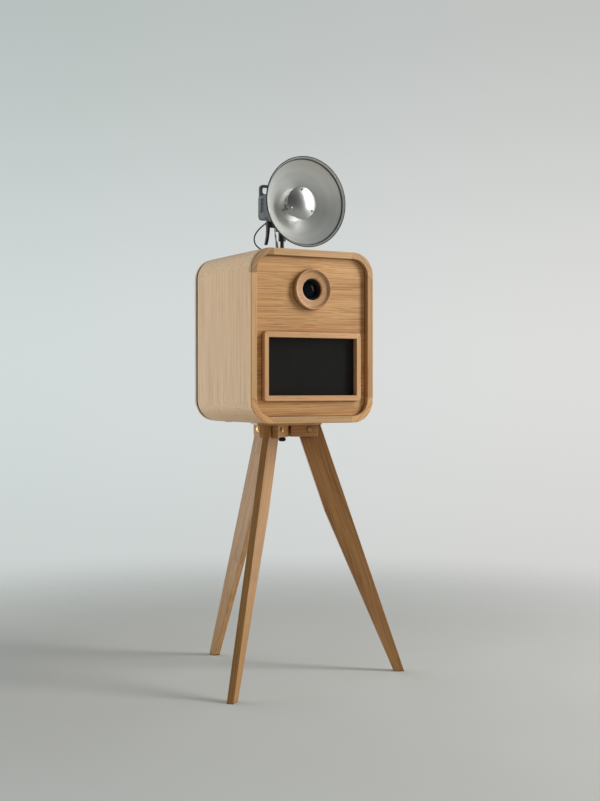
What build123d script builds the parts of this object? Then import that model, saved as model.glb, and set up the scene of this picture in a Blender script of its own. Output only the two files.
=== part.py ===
from build123d import *
import os
from math import cos, pi, radians, sin, sqrt, tan

# Photo booth: an oak cabinet with camera, display and computer, on a three-legged oak stand,
# with a studio flash and its dish on top. Millimetres, +Z up, the cabinet's front faces -Y.
# Everything is drawn about the stand's upright axis and moved at the end, so that the
# origin is on the floor at the middle of the object's footprint.

# ---- cabinet ----
cabinet_width = 462.0
cabinet_height = 570.0
cabinet_depth = 444.0
cabinet_floor = 875.0            # underside of the cabinet above the floor
corner_radius = 76.0
sleeve_wall = 15.0
frame_depth = 18.0               # front face frame, and everything proud of the front panel
frame_face = 22.0
frame_corner = 84.0              # how far a corner block runs along each edge
panel_thickness = 9.0
reveal_gap = 12.0                # open groove between sleeve and rear door
door_thickness = 15.0
door_inset = 1.0
groove_depth = 5.0               # from the sleeve's outside down to the dark frame behind it
reveal_wall = 15.0
glue_gap = 0.5

# ---- lens ring, bezel and display ----
lens_height = 441.0              # lens axis above the cabinet's underside
ring_radius = 66.5
ring_hole = 35.5
panel_lens_hole = 39.0
display_height = 186.0           # middle of the display above the cabinet's underside
display_width = 332.0            # visible opening in the bezel, 16 by 9
display_tall = 190.0
bezel_side = 16.0
bezel_rail = 18.0
bezel_radius = 10.0

# ---- stand ----
stand_turn = 9.6                 # the stand is turned this much under the cabinet
leg_angles = [90.0 + stand_turn, 210.0 + stand_turn, 330.0 + stand_turn]
foot_radius = 430.0              # outer edge of a foot from the axis
foot_depth = 35.0
leg_top_radius = 131.0           # outer edge of a leg at leg_top_height
leg_top_height = 868.0
leg_depth = 82.0
leg_thickness = 24.0
leg_taper_start = 565.0          # height where the inner edge starts to taper
fold_angle = 24.0
hinge_radius = 90.0
hinge_height = 848.0
hinge_bolt = 5.0
board_thickness = 10.0
cheek_inner = 26.0
cheek_outer = 120.0
cheek_width = 22.0
cheek_bottom = 824.0
side_gap = 0.4                   # leg to cheek
stop_gap = 0.5                   # leg top to head board
turn_gap = 0.2                   # cabinet over head board
running_gap = 0.05
knob_radius = 13.0

# ---- flash on its spigot ----
swivel_radius = 80.0
swivel_thickness = 7.5
spigot_radius = 7.0
tilt_height = 1552.0
beam_height = 1610.0             # axis of the dish
dish_radius = 151.0
dish_front = -175.0
dish_crease = 12.5               # the flared lip's depth
dish_crease_radius = 141.5
dish_depth = 92.0
dish_wall = 1.5
deflector_radius = 55.0
deflector_set_back = 34.0
post_circle = 46.0
housing_width = 92.0
housing_bottom = 1576.0
housing_top = 1664.0
housing_front = -74.0
housing_back = 84.0
rear_panel_depth = 10.0
housing_wall = 3.0
handle_top = 1700.0
handle_front = 80.0
handle_bar = 9.0
ear_inner = 34.0
ear_outer = 45.0
ear_radius = 12.0
lever_outer = 60.0
lever_drop = 70.0

# ---- leads ----
power_lead = 5.0
sync_lead = 3.0
power_route = [(-29.6, 53.2, 1461.6), (-37.0, 69.0, 1469.0), (-45.0, 88.0, 1479.0), (-51.0, 104.0, 1493.0),
               (-53.0, 111.0, 1511.0), (-50.0, 107.0, 1529.0), (-43.0, 93.0, 1545.0), (-35.0, 76.0, 1557.0),
               (-30.0, 63.0, 1564.0)]
sync_route = [(-44.0, -33.0, 1515.0), (-46.5, -33.5, 1527.0), (-46.5, -36.0, 1540.0), (-44.5, -37.5, 1553.0),
              (-40.0, -35.5, 1566.0)]

front = -cabinet_depth / 2
back = cabinet_depth / 2
cabinet_top = cabinet_floor + cabinet_height
cabinet_middle = cabinet_floor + cabinet_height / 2
frame_back = front + frame_depth
panel_back = frame_back + panel_thickness
door_front = back - door_thickness
sleeve_back = door_front - reveal_gap
lens_z = cabinet_floor + lens_height
display_z = cabinet_floor + display_height
board_bottom = cabinet_floor - turn_gap - board_thickness
hinge_axis_x = cabinet_width / 2 - 6.0
hinge_axis_y = (sleeve_back + door_front) / 2
hinge_rise = 140.0
hinge_length = 60.0
knuckle = 4.5
leaf_inner = cabinet_width / 2 - 14.0
head_front_plate = housing_front + 4.0

swivel_top = cabinet_top + 0.5 + swivel_thickness


def on_line(tip, neighbour, height):
    """Where the line through a lead's last two points reaches a height."""
    share = (height - tip[2]) / (tip[2] - neighbour[2])
    return tuple(a + (a - b) * share for a, b in zip(tip, neighbour))


power_base = on_line(power_route[0], power_route[1], swivel_top)
power_entry = on_line(power_route[-1], power_route[-2], housing_bottom - 1.0)
sync_base = on_line(sync_route[0], sync_route[1], swivel_top)

parts = {}


def block(x0, x1, y0, y1, z0, z1):
    """A plain box between two corners."""
    size = (x1 - x0, y1 - y0, z1 - z0)
    return Pos((x0 + x1) / 2, (y0 + y1) / 2, (z0 + z1) / 2) * Box(*size)


def facing_slab(width, height, radius, y0, y1, z_middle, x_middle=0.0):
    """A rounded rectangle seen from the front, from y0 back to y1."""
    outline = Plane.XZ * RectangleRounded(width, height, radius)
    return Pos(x_middle, y1, z_middle) * extrude(outline, amount=y1 - y0)


def rod_x(radius, x0, x1, y, z):
    return Pos((x0 + x1) / 2, y, z) * Rot(0, 90, 0) * Cylinder(radius, x1 - x0)


def rod_y(radius, y0, y1, x, z):
    return Pos(x, (y0 + y1) / 2, z) * Rot(90, 0, 0) * Cylinder(radius, y1 - y0)


def rod_z(radius, z0, z1, x=0.0, y=0.0):
    return Pos(x, y, (z0 + z1) / 2) * Cylinder(radius, z1 - z0)


def turned_y(points, x, z):
    """A solid of revolution about the line along Y through x, z, from (y, radius) points."""
    outline = make_face(Polyline(*[(radius, y) for y, radius in points], close=True))
    return Pos(x, 0, z) * revolve(outline, Axis.Y)


# ---------------------------------------------------------------- stand

def leg_outer(z):
    slope = (foot_radius - leg_top_radius) / leg_top_height
    return foot_radius - slope * z


def leg_profile():
    """Corner points of a leg in its own upright plane, (distance from axis, height)."""
    slope = (foot_radius - leg_top_radius) / leg_top_height
    across = leg_depth * sqrt(1 + slope * slope)
    top = board_bottom - stop_gap
    rise = top - hinge_height
    fold = radians(fold_angle)
    shoulder = hinge_radius - rise * (1 - cos(fold)) / sin(fold)
    # the inner shoulder is cut so that it just clears the board when the leg is folded
    start = leg_outer(hinge_height) - across - hinge_radius
    drop = (rise + start * sin(fold)) / (cos(fold) + slope * sin(fold))
    inner_top = (leg_outer(hinge_height + drop) - across, hinge_height + drop)
    return [(leg_outer(top), top), (shoulder, top), inner_top,
            (leg_outer(leg_taper_start) - across, leg_taper_start),
            (foot_radius - foot_depth, 0.0), (foot_radius, 0.0)]


def make_leg(angle):
    outline = Plane.XZ * make_face(Polyline(*leg_profile(), close=True))
    leg = extrude(outline, amount=leg_thickness / 2, both=True)
    leg = fillet(leg.faces().filter_by(Axis.Y).edges(), 1.5)
    leg -= rod_y(hinge_bolt + running_gap, -leg_thickness, leg_thickness, hinge_radius, hinge_height)
    return leg.rotate(Axis.Z, angle)


def make_cheeks():
    """Two blocks for each leg, screwed under the head board, and the round hub between them."""
    cheeks = []
    inner = leg_thickness / 2 + side_gap
    for angle in leg_angles:
        for side in (1, -1):
            edges = sorted((side * inner, side * (inner + cheek_width)))
            cheek = block(cheek_inner, cheek_outer, edges[0], edges[1], cheek_bottom, board_bottom)
            cheek = chamfer(cheek.edges().filter_by(Axis.Z), 1.0)
            cheek -= rod_y(hinge_bolt, edges[0] - 1, edges[1] + 1, hinge_radius, hinge_height)
            cheeks.append(cheek.rotate(Axis.Z, angle))
    hub = rod_z(cheek_inner - 0.5, cheek_bottom, board_bottom) - rod_z(9.5, cheek_bottom - 1, board_bottom + 1)
    return Compound(cheeks + [hub])


def make_head_board():
    half = leg_thickness / 2 + side_gap + cheek_width + 2.0
    corners = []
    for angle in leg_angles:
        along = Vector(cos(radians(angle)), sin(radians(angle)))
        across = Vector(-along.Y, along.X)
        corners += [along * (leg_top_radius + 2) - across * half, along * (leg_top_radius + 2) + across * half]
    outline = make_face(Polyline(*[(c.X, c.Y) for c in corners], close=True))
    board = Pos(0, 0, board_bottom) * extrude(outline, amount=board_thickness)
    board = fillet(board.edges().filter_by(Axis.Z), 6.0)
    return board - rod_z(6.0, board_bottom - 1, board_bottom + board_thickness + 1)


def make_hinge_bolts():
    """Each bolt has a round brass head and washer on one side and a hexagon nut on the other."""
    bolts = []
    face = leg_thickness / 2 + side_gap + cheek_width
    for angle in leg_angles:
        bolt = rod_y(hinge_bolt, -face - 10.0, face, hinge_radius, hinge_height)
        bolt += rod_y(10.0, face, face + 1.5, hinge_radius, hinge_height)
        head = rod_y(8.0, face + 1.5, face + 6.5, hinge_radius, hinge_height)
        bolt += fillet(head.faces().sort_by(Axis.Y)[-1].edges(), 2.5)
        hexagon = Plane.XZ * RegularPolygon(8.5, 6)
        nut = Pos(hinge_radius, -face, hinge_height) * extrude(hexagon, amount=7.5)
        nut -= rod_y(hinge_bolt, -face - 9, -face + 1, hinge_radius, hinge_height)
        bolts += [bolt.rotate(Axis.Z, angle), nut.rotate(Axis.Z, angle)]
    return Compound(bolts)


def make_head_knob():
    """Lobed hand knob on the threaded stud that holds the cabinet down."""
    bottom = 807.0
    rim, top = knob_radius - 5.0, bottom + 14.0
    outline = make_face(Wire([Line((0, bottom), (rim, bottom)),
                              ThreePointArc((rim, bottom), (knob_radius, bottom + 7.0), (rim, top)),
                              Line((rim, top), (0, top)), Line((0, top), (0, bottom))]))
    knob = revolve(Plane.XZ * outline, Axis.Z)
    for step in range(6):
        around = radians(60 * step)
        knob -= rod_z(3.2, bottom - 1, bottom + 15, (knob_radius + 1.4) * cos(around), (knob_radius + 1.4) * sin(around))
    knob += rod_z(9.0, top, board_bottom - 0.3)
    return knob + rod_z(hinge_bolt, board_bottom - 1, cabinet_floor + sleeve_wall + 9.0)


# ---------------------------------------------------------------- cabinet

def rounded_shell(inset_out, inset_in, y0, y1):
    outer = facing_slab(cabinet_width - 2 * inset_out, cabinet_height - 2 * inset_out,
                        corner_radius - inset_out, y0, y1, cabinet_middle)
    inner = facing_slab(cabinet_width - 2 * inset_in, cabinet_height - 2 * inset_in,
                        corner_radius - inset_in, y0 - 1, y1 + 1, cabinet_middle)
    return outer - inner


inlet_place = (-110.0, 150.0)
inlet_size = (48.0, 28.0)


def make_sleeve():
    sleeve = rounded_shell(0.0, sleeve_wall, frame_back, sleeve_back)
    sleeve -= rod_z(6.0, cabinet_floor - 1, cabinet_floor + sleeve_wall + 1)
    half = [size / 2 for size in inlet_size]
    x, y = inlet_place
    sleeve -= block(x - half[0], x + half[0], y - half[1], y + half[1], cabinet_floor - 1, cabinet_floor + sleeve_wall + 1)
    return sleeve - rod_z(12.0, cabinet_top - sleeve_wall - 1, cabinet_top + 1)


def make_front_frame():
    """Face frame of two rails, two stiles and four curved corner blocks."""
    ring = rounded_shell(0.0, frame_face, front, frame_back)
    outer_edges = [e for e in ring.faces().sort_by(Axis.Y)[0].outer_wire().edges()]
    ring = fillet(outer_edges, 3.0)
    inner_edges = [e for e in ring.faces().sort_by(Axis.Y)[0].inner_wires()[0].edges()]
    ring = fillet(inner_edges, 1.0)
    x_joint = cabinet_width / 2 - frame_corner
    z_joint = cabinet_height / 2 - frame_corner
    z0, z1 = cabinet_floor - 1, cabinet_top + 1
    low, high = cabinet_middle - z_joint, cabinet_middle + z_joint
    side = cabinet_width / 2 + 1
    y0, y1 = front - 1, frame_back + 1
    corners = []
    for x_sign in (-1, 1):
        for span in ((z0, low), (high, z1)):
            xs = sorted((x_sign * x_joint, x_sign * side))
            corners.append(ring & block(xs[0], xs[1], y0, y1, span[0], span[1]))
    return {
        "frame_top_rail": ring & block(-x_joint, x_joint, y0, y1, high, z1),
        "frame_bottom_rail": ring & block(-x_joint, x_joint, y0, y1, z0, low),
        "frame_left_stile": ring & block(-side, -x_joint, y0, y1, low, high),
        "frame_right_stile": ring & block(x_joint, side, y0, y1, low, high),
        "frame_corner_blocks": Compound([piece.solids()[0] for piece in corners]),
    }


def make_front_panel():
    inset = sleeve_wall + glue_gap
    panel = facing_slab(cabinet_width - 2 * inset, cabinet_height - 2 * inset, corner_radius - inset,
                        frame_back, panel_back, cabinet_middle)
    panel -= rod_y(panel_lens_hole, frame_back - 1, panel_back + 1, 0, lens_z)
    return panel - facing_slab(display_width + 4, display_tall + 4, 2.0, frame_back - 1, panel_back + 1, display_z)


def make_lens_ring():
    """Turned ring: a narrow rim, a cove inside it, and a shallow slope down to the hole."""
    floor_radius = ring_radius - 12.5
    return turned_y([(frame_back, ring_hole), (frame_back, ring_radius), (front + 2.2, ring_radius),
                     (front + 0.6, ring_radius - 0.6), (front, ring_radius - 2.0),
                     (front + 0.7, ring_radius - 3.6), (front + 3.0, ring_radius - 6.2),
                     (front + 6.0, ring_radius - 8.4), (front + 7.6, ring_radius - 10.4), (front + 8.2, floor_radius),
                     (front + 9.4, ring_hole + 4.0), (front + 10.4, ring_hole + 1.0), (front + 12.0, ring_hole)],
                    0, lens_z)


def make_screen_bezel():
    outer = facing_slab(display_width + 2 * bezel_side, display_tall + 2 * bezel_rail, bezel_radius,
                        front, frame_back, display_z)
    outer = fillet(outer.faces().sort_by(Axis.Y)[0].edges(), 2.5)
    opening = facing_slab(display_width, display_tall, 2.0, front - 1, frame_back + 1, display_z)
    bezel = outer - opening
    return chamfer(bezel.faces().sort_by(Axis.Y)[0].inner_wires()[0].edges(), 1.2)


def make_reveal_frame():
    """Dark inner frame that stands out of the sleeve, fills most of the groove and carries the rear door."""
    inset = sleeve_wall + glue_gap
    ring = rounded_shell(inset, inset + reveal_wall, sleeve_back - 20, door_front - 0.6)
    ring += rounded_shell(groove_depth, inset + reveal_wall, sleeve_back + 0.2, door_front - 0.6)
    for side in (-1, 1):
        z = cabinet_middle + side * hinge_rise
        ring -= block(leaf_inner - 1.5, cabinet_width / 2 + 1, sleeve_back - 0.2, door_front + 1,
                      z - hinge_length / 2 - 1.5, z + hinge_length / 2 + 1.5)
    return ring


def make_base_plate():
    """Steel plate with the thread that takes the stand's stud."""
    z0 = cabinet_floor + sleeve_wall
    plate = Pos(0, 0, z0 + 4) * Box(100, 100, 8)
    plate = fillet(plate.edges().filter_by(Axis.Z), 8.0)
    plate -= rod_z(hinge_bolt + running_gap, z0 - 1, z0 + 9)
    for x in (-38, 38):
        for y in (-38, 38):
            plate -= rod_z(2.5, z0 - 1, z0 + 9, x, y)
    return plate


shelf_top = lens_z - 52.0
shelf_thickness = 12.0
shelf_back = -20.0


def make_camera_shelf():
    half = cabinet_width / 2 - sleeve_wall - glue_gap
    shelf = block(-half, half, panel_back + 2, shelf_back, shelf_top - shelf_thickness, shelf_top)
    for side in (-1, 1):
        xs = sorted((side * half, side * (half - 18)))
        shelf += block(xs[0], xs[1], panel_back + 2, shelf_back, shelf_top - shelf_thickness - 18, shelf_top - shelf_thickness)
    return shelf - rod_z(3.6, shelf_top - shelf_thickness - 1, shelf_top + 1, 0, -72.0)


# ---------------------------------------------------------------- display, camera, computer

glass_thickness = 3.0
case_depth = 24.0


def make_display_glass():
    return facing_slab(display_width + 18, display_tall + 16, 3.0, panel_back, panel_back + glass_thickness, display_z)


def make_display_case():
    y0 = panel_back + glass_thickness
    case = facing_slab(display_width + 18, display_tall + 16, 6.0, y0, y0 + case_depth, display_z)
    case = fillet(case.faces().sort_by(Axis.Y)[-1].edges(), 4.0)
    for row in range(6):
        case -= block(-60, 60, y0 + case_depth - 2, y0 + case_depth + 1, display_z + 40 + 7 * row, display_z + 43 + 7 * row)
    return case


def make_display_brackets():
    """Two flat bars across the back of the display, screwed to the front panel."""
    bars = []
    y0 = panel_back + glass_thickness + case_depth
    reach = display_tall / 2 + 26
    for x in (-100.0, 100.0):
        bar = block(x - 12, x + 12, y0, y0 + 3, display_z - reach, display_z + reach)
        for end in (-1, 1):
            zs = sorted((display_z + end * reach, display_z + end * (reach - 3)))
            bar += block(x - 12, x + 12, panel_back, y0 + 3, zs[0], zs[1])
            feet = sorted((display_z + end * reach, display_z + end * (reach + 14)))
            bar += block(x - 12, x + 12, panel_back, panel_back + 3, feet[0], feet[1])
        bars.append(bar.solids()[0])
    return Compound(bars)


lens_front = -203.0
camera_front = -112.0
camera_back = -40.0
shutter_place = (-58.0, camera_front + 1.0)


def make_camera_body():
    z0 = shelf_top + 8.0
    body = block(-66, 66, camera_front + 8, camera_back, z0, z0 + 82)
    body = fillet(body.edges().filter_by(Axis.Z), 8.0)
    grip = block(-72, -44, camera_front - 6, camera_back - 20, z0, z0 + 76)
    body += fillet(grip.edges().filter_by(Axis.Z), 9.0)
    prism = block(-24, 24, camera_front + 6, camera_back - 6, z0 + 78, z0 + 102)
    body += fillet(prism.edges().filter_by(Axis.Y), 8.0)
    body += block(-10, 10, camera_back - 40, camera_back - 20, z0 + 102, z0 + 105)
    body += rod_y(33.0, camera_front, camera_front + 10, 0, lens_z)
    body -= rod_z(6.0, z0 + 72, z0 + 80, *shutter_place)
    body -= rod_z(3.1, z0 - 1, z0 + 12, 0, -72.0)
    # quick-release plate between camera and shelf
    plate = block(-22, 22, -98, -46, shelf_top, z0)
    return body + (plate - rod_z(3.1, shelf_top - 1, z0 + 1, 0, -72.0))


def make_lens_barrel():
    core = turned_y([(lens_front, 34.5), (lens_front + 12, 34.5), (lens_front + 12, 30.0), (-122, 30.0), (-122, 32.0),
                     (camera_front, 32.0), (camera_front, 22.0), (lens_front + 16, 22.0), (lens_front + 14, 27.0),
                     (lens_front + 3, 31.0), (lens_front, 32.5)], 0, lens_z)
    return core


def make_lens_glass():
    """Front element: a domed disc that closes the barrel."""
    disc = turned_y([(lens_front + 13.8, 0.0), (lens_front + 13.8, 26.6), (lens_front + 12, 26.9), (lens_front + 9.4, 20.0),
                     (lens_front + 7.6, 11.0), (lens_front + 7.0, 0.0)], 0, lens_z)
    return disc


def make_grip_ring(y0, y1, radius, ribs):
    ring = turned_y([(y0, 30.0 + running_gap), (y0, radius - 1), (y0 + 1, radius), (y1 - 1, radius),
                     (y1, radius - 1), (y1, 30.0 + running_gap)], 0, lens_z)
    for rib in range(ribs):
        around = 360 / ribs * rib
        groove = Pos(0, (y0 + y1) / 2, lens_z) * Rot(0, around, 0) * Pos(radius, 0, 0) * Box(1.6, y1 - y0 - 5, 2.4)
        ring -= groove
    return ring


def make_shutter_button():
    z0 = shelf_top + 8.0 + 74.5
    button = rod_z(5.6, z0, z0 + 4.5, *shutter_place)
    return fillet(button.faces().sort_by(Axis.Z)[-1].edges(), 0.8)


def make_camera_screw():
    z0 = shelf_top - shelf_thickness
    head = rod_z(11.0, z0 - 9, z0 - 0.3, 0, -72.0)
    head = fillet(head.faces().sort_by(Axis.Z)[0].edges(), 1.0)
    return head + rod_z(3.05, z0 - 1, shelf_top + 16, 0, -72.0)


computer_place = (88.0, 112.0)
computer_half = (64.0, 56.0)
computer_button_x = computer_place[0] - 46.0
computer_back = computer_place[1] + computer_half[1]


def make_computer_case():
    """Small computer on four round feet, with its ports and button at the back."""
    x, y = computer_place
    half_x, half_y = computer_half
    z0 = cabinet_floor + sleeve_wall
    case = block(x - half_x, x + half_x, y - half_y, y + half_y, z0 + 3, z0 + 49)
    case = fillet(case.edges().filter_by(Axis.Z), 10.0)
    case = fillet(case.faces().sort_by(Axis.Z)[-1].edges(), 2.5)
    for dx in (-half_x + 16, half_x - 16):
        for dy in (-half_y + 16, half_y - 16):
            case += rod_z(7.0, z0, z0 + 4, x + dx, y + dy)
    case -= rod_y(6.2, computer_back - 6, computer_back + 1, computer_button_x, z0 + 28)
    for port in range(3):
        left = x - 26 + 24 * port
        case -= block(left, left + 16, computer_back - 4, computer_back + 1, z0 + 20, z0 + 28)
    return case


def make_computer_button():
    z = cabinet_floor + sleeve_wall + 28
    button = rod_y(5.8, computer_back - 3.5, computer_back + 2, computer_button_x, z)
    return fillet(button.faces().sort_by(Axis.Y)[-1].edges(), 0.8)


def make_power_strip():
    z0 = cabinet_floor + sleeve_wall
    strip = block(-152, -18, 58, 106, z0, z0 + 36)
    strip = fillet(strip.edges().filter_by(Axis.X), 5.0)
    for outlet in range(3):
        strip -= rod_z(19.0, z0 + 24, z0 + 37, -128 + 43 * outlet, 82)
    return strip


def make_mains_inlet():
    """Panel inlet beside its rocker switch, let into the underside of the sleeve."""
    x, y = inlet_place
    half = [size / 2 - 0.3 for size in inlet_size]
    body = block(x - half[0], x + half[0], y - half[1], y + half[1], cabinet_floor, cabinet_floor + 34)
    flange = block(x - half[0] - 6, x + half[0] + 6, y - half[1] - 4, y + half[1] + 4, cabinet_floor - 2.5, cabinet_floor)
    body += fillet(flange.edges().filter_by(Axis.Z), 4.0)
    body -= block(x - 21, x + 3, y - 9, y + 9, cabinet_floor - 3, cabinet_floor + 17)
    for pin in (-16.0, -9.0, -2.0):
        body += block(x + pin - 1, x + pin + 1, y - 2.5, y + 2.5, cabinet_floor + 1, cabinet_floor + 18)
    return body - block(x + 7.5, x + 21.5, y - 11.5, y + 11.5, cabinet_floor - 3, cabinet_floor + 12)


def make_mains_rocker():
    x, y = inlet_place
    return rocker_tile(12.6, 19.5).moved(Pos(x + 14.5, y, cabinet_floor + 1.0) * Rot(180, 0, 0))


def rocker_tile(width, length):
    """A rocker switch's tile about its own pivot line along X, showing upwards."""
    outline = make_face(Polyline((-length / 2, 2.0), (-length / 2, -3.0), (-2.5, -6.0), (2.5, -6.0), (length / 2, -3.0),
                                 (length / 2, 2.0), (0, 0.9), close=True))
    return extrude(Plane.YZ * outline, amount=width / 2, both=True)


# ---------------------------------------------------------------- rear door


def make_door():
    door = facing_slab(cabinet_width - 2 * door_inset, cabinet_height - 2 * door_inset, corner_radius - door_inset,
                       door_front, back, cabinet_middle)
    door = fillet(door.faces().sort_by(Axis.Y)[-1].edges(), 2.5)
    door -= rod_y(15.0, door_front - 1, back + 1, -170, cabinet_middle)
    for z_row in (cabinet_floor + 110, cabinet_top - 110):
        for slot in range(9):
            x = -80 + 20 * slot
            door -= facing_slab(7.0, 56.0, 3.4, door_front - 1, back + 1, z_row, x)
    return door


def hinge_leaf(z_middle, on_door):
    """One leaf with its knuckles: the door has the middle one, the cabinet the two outer ones."""
    third = hinge_length / 3
    z0 = z_middle - hinge_length / 2
    spans = [(z0 + third + 0.3, z0 + 2 * third - 0.3)] if on_door else [(z0, z0 + third), (z0 + 2 * third, z0 + hinge_length)]
    y0, y1 = (door_front - 1.6, door_front) if on_door else (sleeve_back, sleeve_back + 1.6)
    leaf = block(leaf_inner, hinge_axis_x, y0, y1, z0, z0 + hinge_length)
    for low, high in spans:
        leaf += rod_z(knuckle, low, high, hinge_axis_x, hinge_axis_y)
    for low, high in spans if not on_door else []:
        leaf -= block(leaf_inner - 1, hinge_axis_x + 6, door_front - 2.0, door_front + 1, low - 1, high + 1)
    if on_door:
        for low, high in ((z0 - 1, z0 + third), (z0 + 2 * third, z0 + hinge_length + 1)):
            leaf -= block(hinge_axis_x - knuckle - 0.6, hinge_axis_x + 6, y0 - 1, y1 + 1, low - 0.3, high + 0.3)
    else:
        leaf -= block(hinge_axis_x - knuckle - 0.6, hinge_axis_x + 6, y0 - 1, y1 + 1,
                      z0 + third, z0 + 2 * third)
    leaf -= rod_z(1.5 + (running_gap if on_door else 0), z0 - 1, z0 + hinge_length + 1, hinge_axis_x, hinge_axis_y)
    return leaf.solids()[0]


def make_hinge_leaves(on_door):
    return Compound([hinge_leaf(cabinet_middle + side * hinge_rise, on_door) for side in (-1, 1)])


def make_hinge_pins():
    pins = []
    for side in (-1, 1):
        z = cabinet_middle + side * hinge_rise
        pins.append(rod_z(1.5, z - hinge_length / 2, z + hinge_length / 2, hinge_axis_x, hinge_axis_y))
    return Compound(pins)


def make_catch_magnets():
    """Magnet catches on the inside of the reveal frame, at the door's free edge."""
    inner = cabinet_width / 2 - sleeve_wall - glue_gap - reveal_wall
    magnets = []
    for side in (-1, 1):
        z = cabinet_middle + 110 * side
        magnets.append(block(-inner, -inner + 12, door_front - 20, door_front - 0.5, z - 20, z + 20))
    return Compound(magnets)


# ---------------------------------------------------------------- flash mount on the cabinet's top

def make_swivel_plate():
    """Round plate that turns on the cabinet's top and takes both leads inside."""
    plate = rod_z(swivel_radius, cabinet_top + 0.5, swivel_top)
    plate = fillet(plate.faces().sort_by(Axis.Z)[-1].edges(), 2.0)
    plate += rod_z(12.0 - running_gap, cabinet_top - sleeve_wall - 2, cabinet_top + 1)
    plate += rod_z(20.0, cabinet_top - sleeve_wall - 5, cabinet_top - sleeve_wall - 0.3)
    return plate - rod_z(4.0, cabinet_top - sleeve_wall - 6, swivel_top + 1, *sync_base[:2])


def make_spigot():
    """Steel stud with a flange and four screws."""
    spigot = rod_z(24.0, swivel_top, swivel_top + 4)
    spigot = fillet(spigot.faces().sort_by(Axis.Z)[-1].edges(), 1.0)
    spigot += rod_z(10.0, swivel_top + 4, swivel_top + 12)
    spigot += rod_z(spigot_radius, swivel_top + 12, tilt_height - 18)
    for step in range(4):
        around = radians(45 + 90 * step)
        spigot += rod_z(3.0, swivel_top + 4, swivel_top + 5.5, 17 * cos(around), 17 * sin(around))
    return spigot


def make_tilt_bracket():
    """Socket that sits over the spigot, with the cross barrel that the flash tilts on."""
    low = tilt_height - 56
    bracket = rod_z(13.0, low, tilt_height)
    bracket = fillet(bracket.faces().sort_by(Axis.Z)[0].edges(), 1.5)
    bracket += rod_x(12.0, -ear_inner + side_gap, ear_inner - side_gap, 0, tilt_height)
    bracket += block(-22, 22, -7, 7, tilt_height - 24, tilt_height)
    bracket += rod_x(7.0, 0, 20, 0, tilt_height - 40)
    bracket -= rod_x(hinge_bolt + running_gap, -ear_inner, ear_inner, 0, tilt_height)
    bracket -= rod_x(3.0 + running_gap, 0, 21, 0, tilt_height - 40)
    return bracket - rod_z(spigot_radius, low - 1, tilt_height - 18)


def make_clamp_screw():
    """Thumb screw that grips the spigot."""
    screw = rod_x(3.0, spigot_radius + 0.2, 22, 0, tilt_height - 40)
    head = rod_x(9.0, 20.5, 33, 0, tilt_height - 40)
    for step in range(5):
        around = 72 * step
        head -= Pos(27, 0, tilt_height - 40) * Rot(around, 0, 0) * Pos(0, 10.2, 0) * Rot(0, 90, 0) * Cylinder(2.6, 16)
    return screw + head


def make_tilt_lever():
    """Lever and its through bolt: turning it clamps the tilt."""
    lever = rod_x(hinge_bolt, -lever_outer + 4, ear_outer + 2, 0, tilt_height)
    lever += rod_x(8.0, ear_outer + 0.4, ear_outer + 6.5, 0, tilt_height)
    hub = rod_x(9.5, -lever_outer, -ear_outer - 0.4, 0, tilt_height)
    lever += fillet(hub.faces().sort_by(Axis.X)[0].edges(), 2.0)
    z0 = tilt_height - lever_drop
    front_edge = Spline((-9.0, tilt_height), (-6.5, tilt_height - 20), (-1.0, tilt_height - 44), (9.0, z0 + 3))
    back_edge = Spline((21.0, z0 + 3), (10.5, tilt_height - 40), (8.0, tilt_height - 20), (9.0, tilt_height))
    outline = make_face(Wire([front_edge, Line((9.0, z0 + 3), (12.0, z0)), Line((12.0, z0), (18.0, z0)),
                              Line((18.0, z0), (21.0, z0 + 3)), back_edge,
                              Line((9.0, tilt_height), (-9.0, tilt_height))]))
    arm = Pos(-lever_outer + 5.5, 0, 0) * extrude(Plane.YZ * outline, amount=4.5, both=True)
    return lever + fillet(arm.faces().filter_by(Axis.X).edges(), 1.5)


def pointing_rod(start, end, radius, end_radius=None):
    """A cone or rod from one point to another."""
    start, end = Vector(*start), Vector(*end)
    direction = end - start
    plane = Plane(origin=start + direction * 0.5, z_dir=direction)
    if end_radius is None:
        return plane * Cylinder(radius, direction.length)
    return plane * Cone(radius, end_radius, direction.length)


def make_cable_grommet():
    """Tapered boot where the flash's mains lead comes out of the swivel plate."""
    boot = pointing_rod(power_base, power_route[0], 6.0, 3.4)
    boot += rod_z(9.0, power_base[2], power_base[2] + 4, *power_base[:2])
    return boot - block(-60, 20, 0, 90, cabinet_top, swivel_top)


def make_jack_plug():
    """Metal jack plug in the plate, with a ribbed spring relief at its lead end."""
    start, end = Vector(*sync_base), Vector(*sync_route[0])
    axis = (end - start).normalized()
    length = (end - start).length

    def at(distance):
        point = start + axis * distance
        return (point.X, point.Y, point.Z)

    plug = pointing_rod(at(-3.0), at(30.0), 6.5)
    plug += pointing_rod(at(30.0), at(38.0), 6.5, 4.6)
    plug += pointing_rod(at(38.0), at(length), 3.2)
    turn = 38.0
    while turn < length - 2.5:
        plug += pointing_rod(at(turn), at(turn + 1.7), 4.4)
        turn += 3.2
    plug += rod_z(9.5, swivel_top, swivel_top + 3, *sync_base[:2])
    return plug - block(-60, 20, -60, 0, cabinet_top, swivel_top)


def bend_radii(points):
    """0.45 of the shorter run beside each corner over the tangent of half its turn."""
    places = [Vector(*p) for p in points]
    radii = []
    for before, here, after in zip(places, places[1:], places[2:]):
        first, second = here - before, after - here
        half_turn = radians(first.get_angle(second) / 2)
        radii.append(0.45 * min(first.length, second.length) / tan(half_turn))
    return radii


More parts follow.
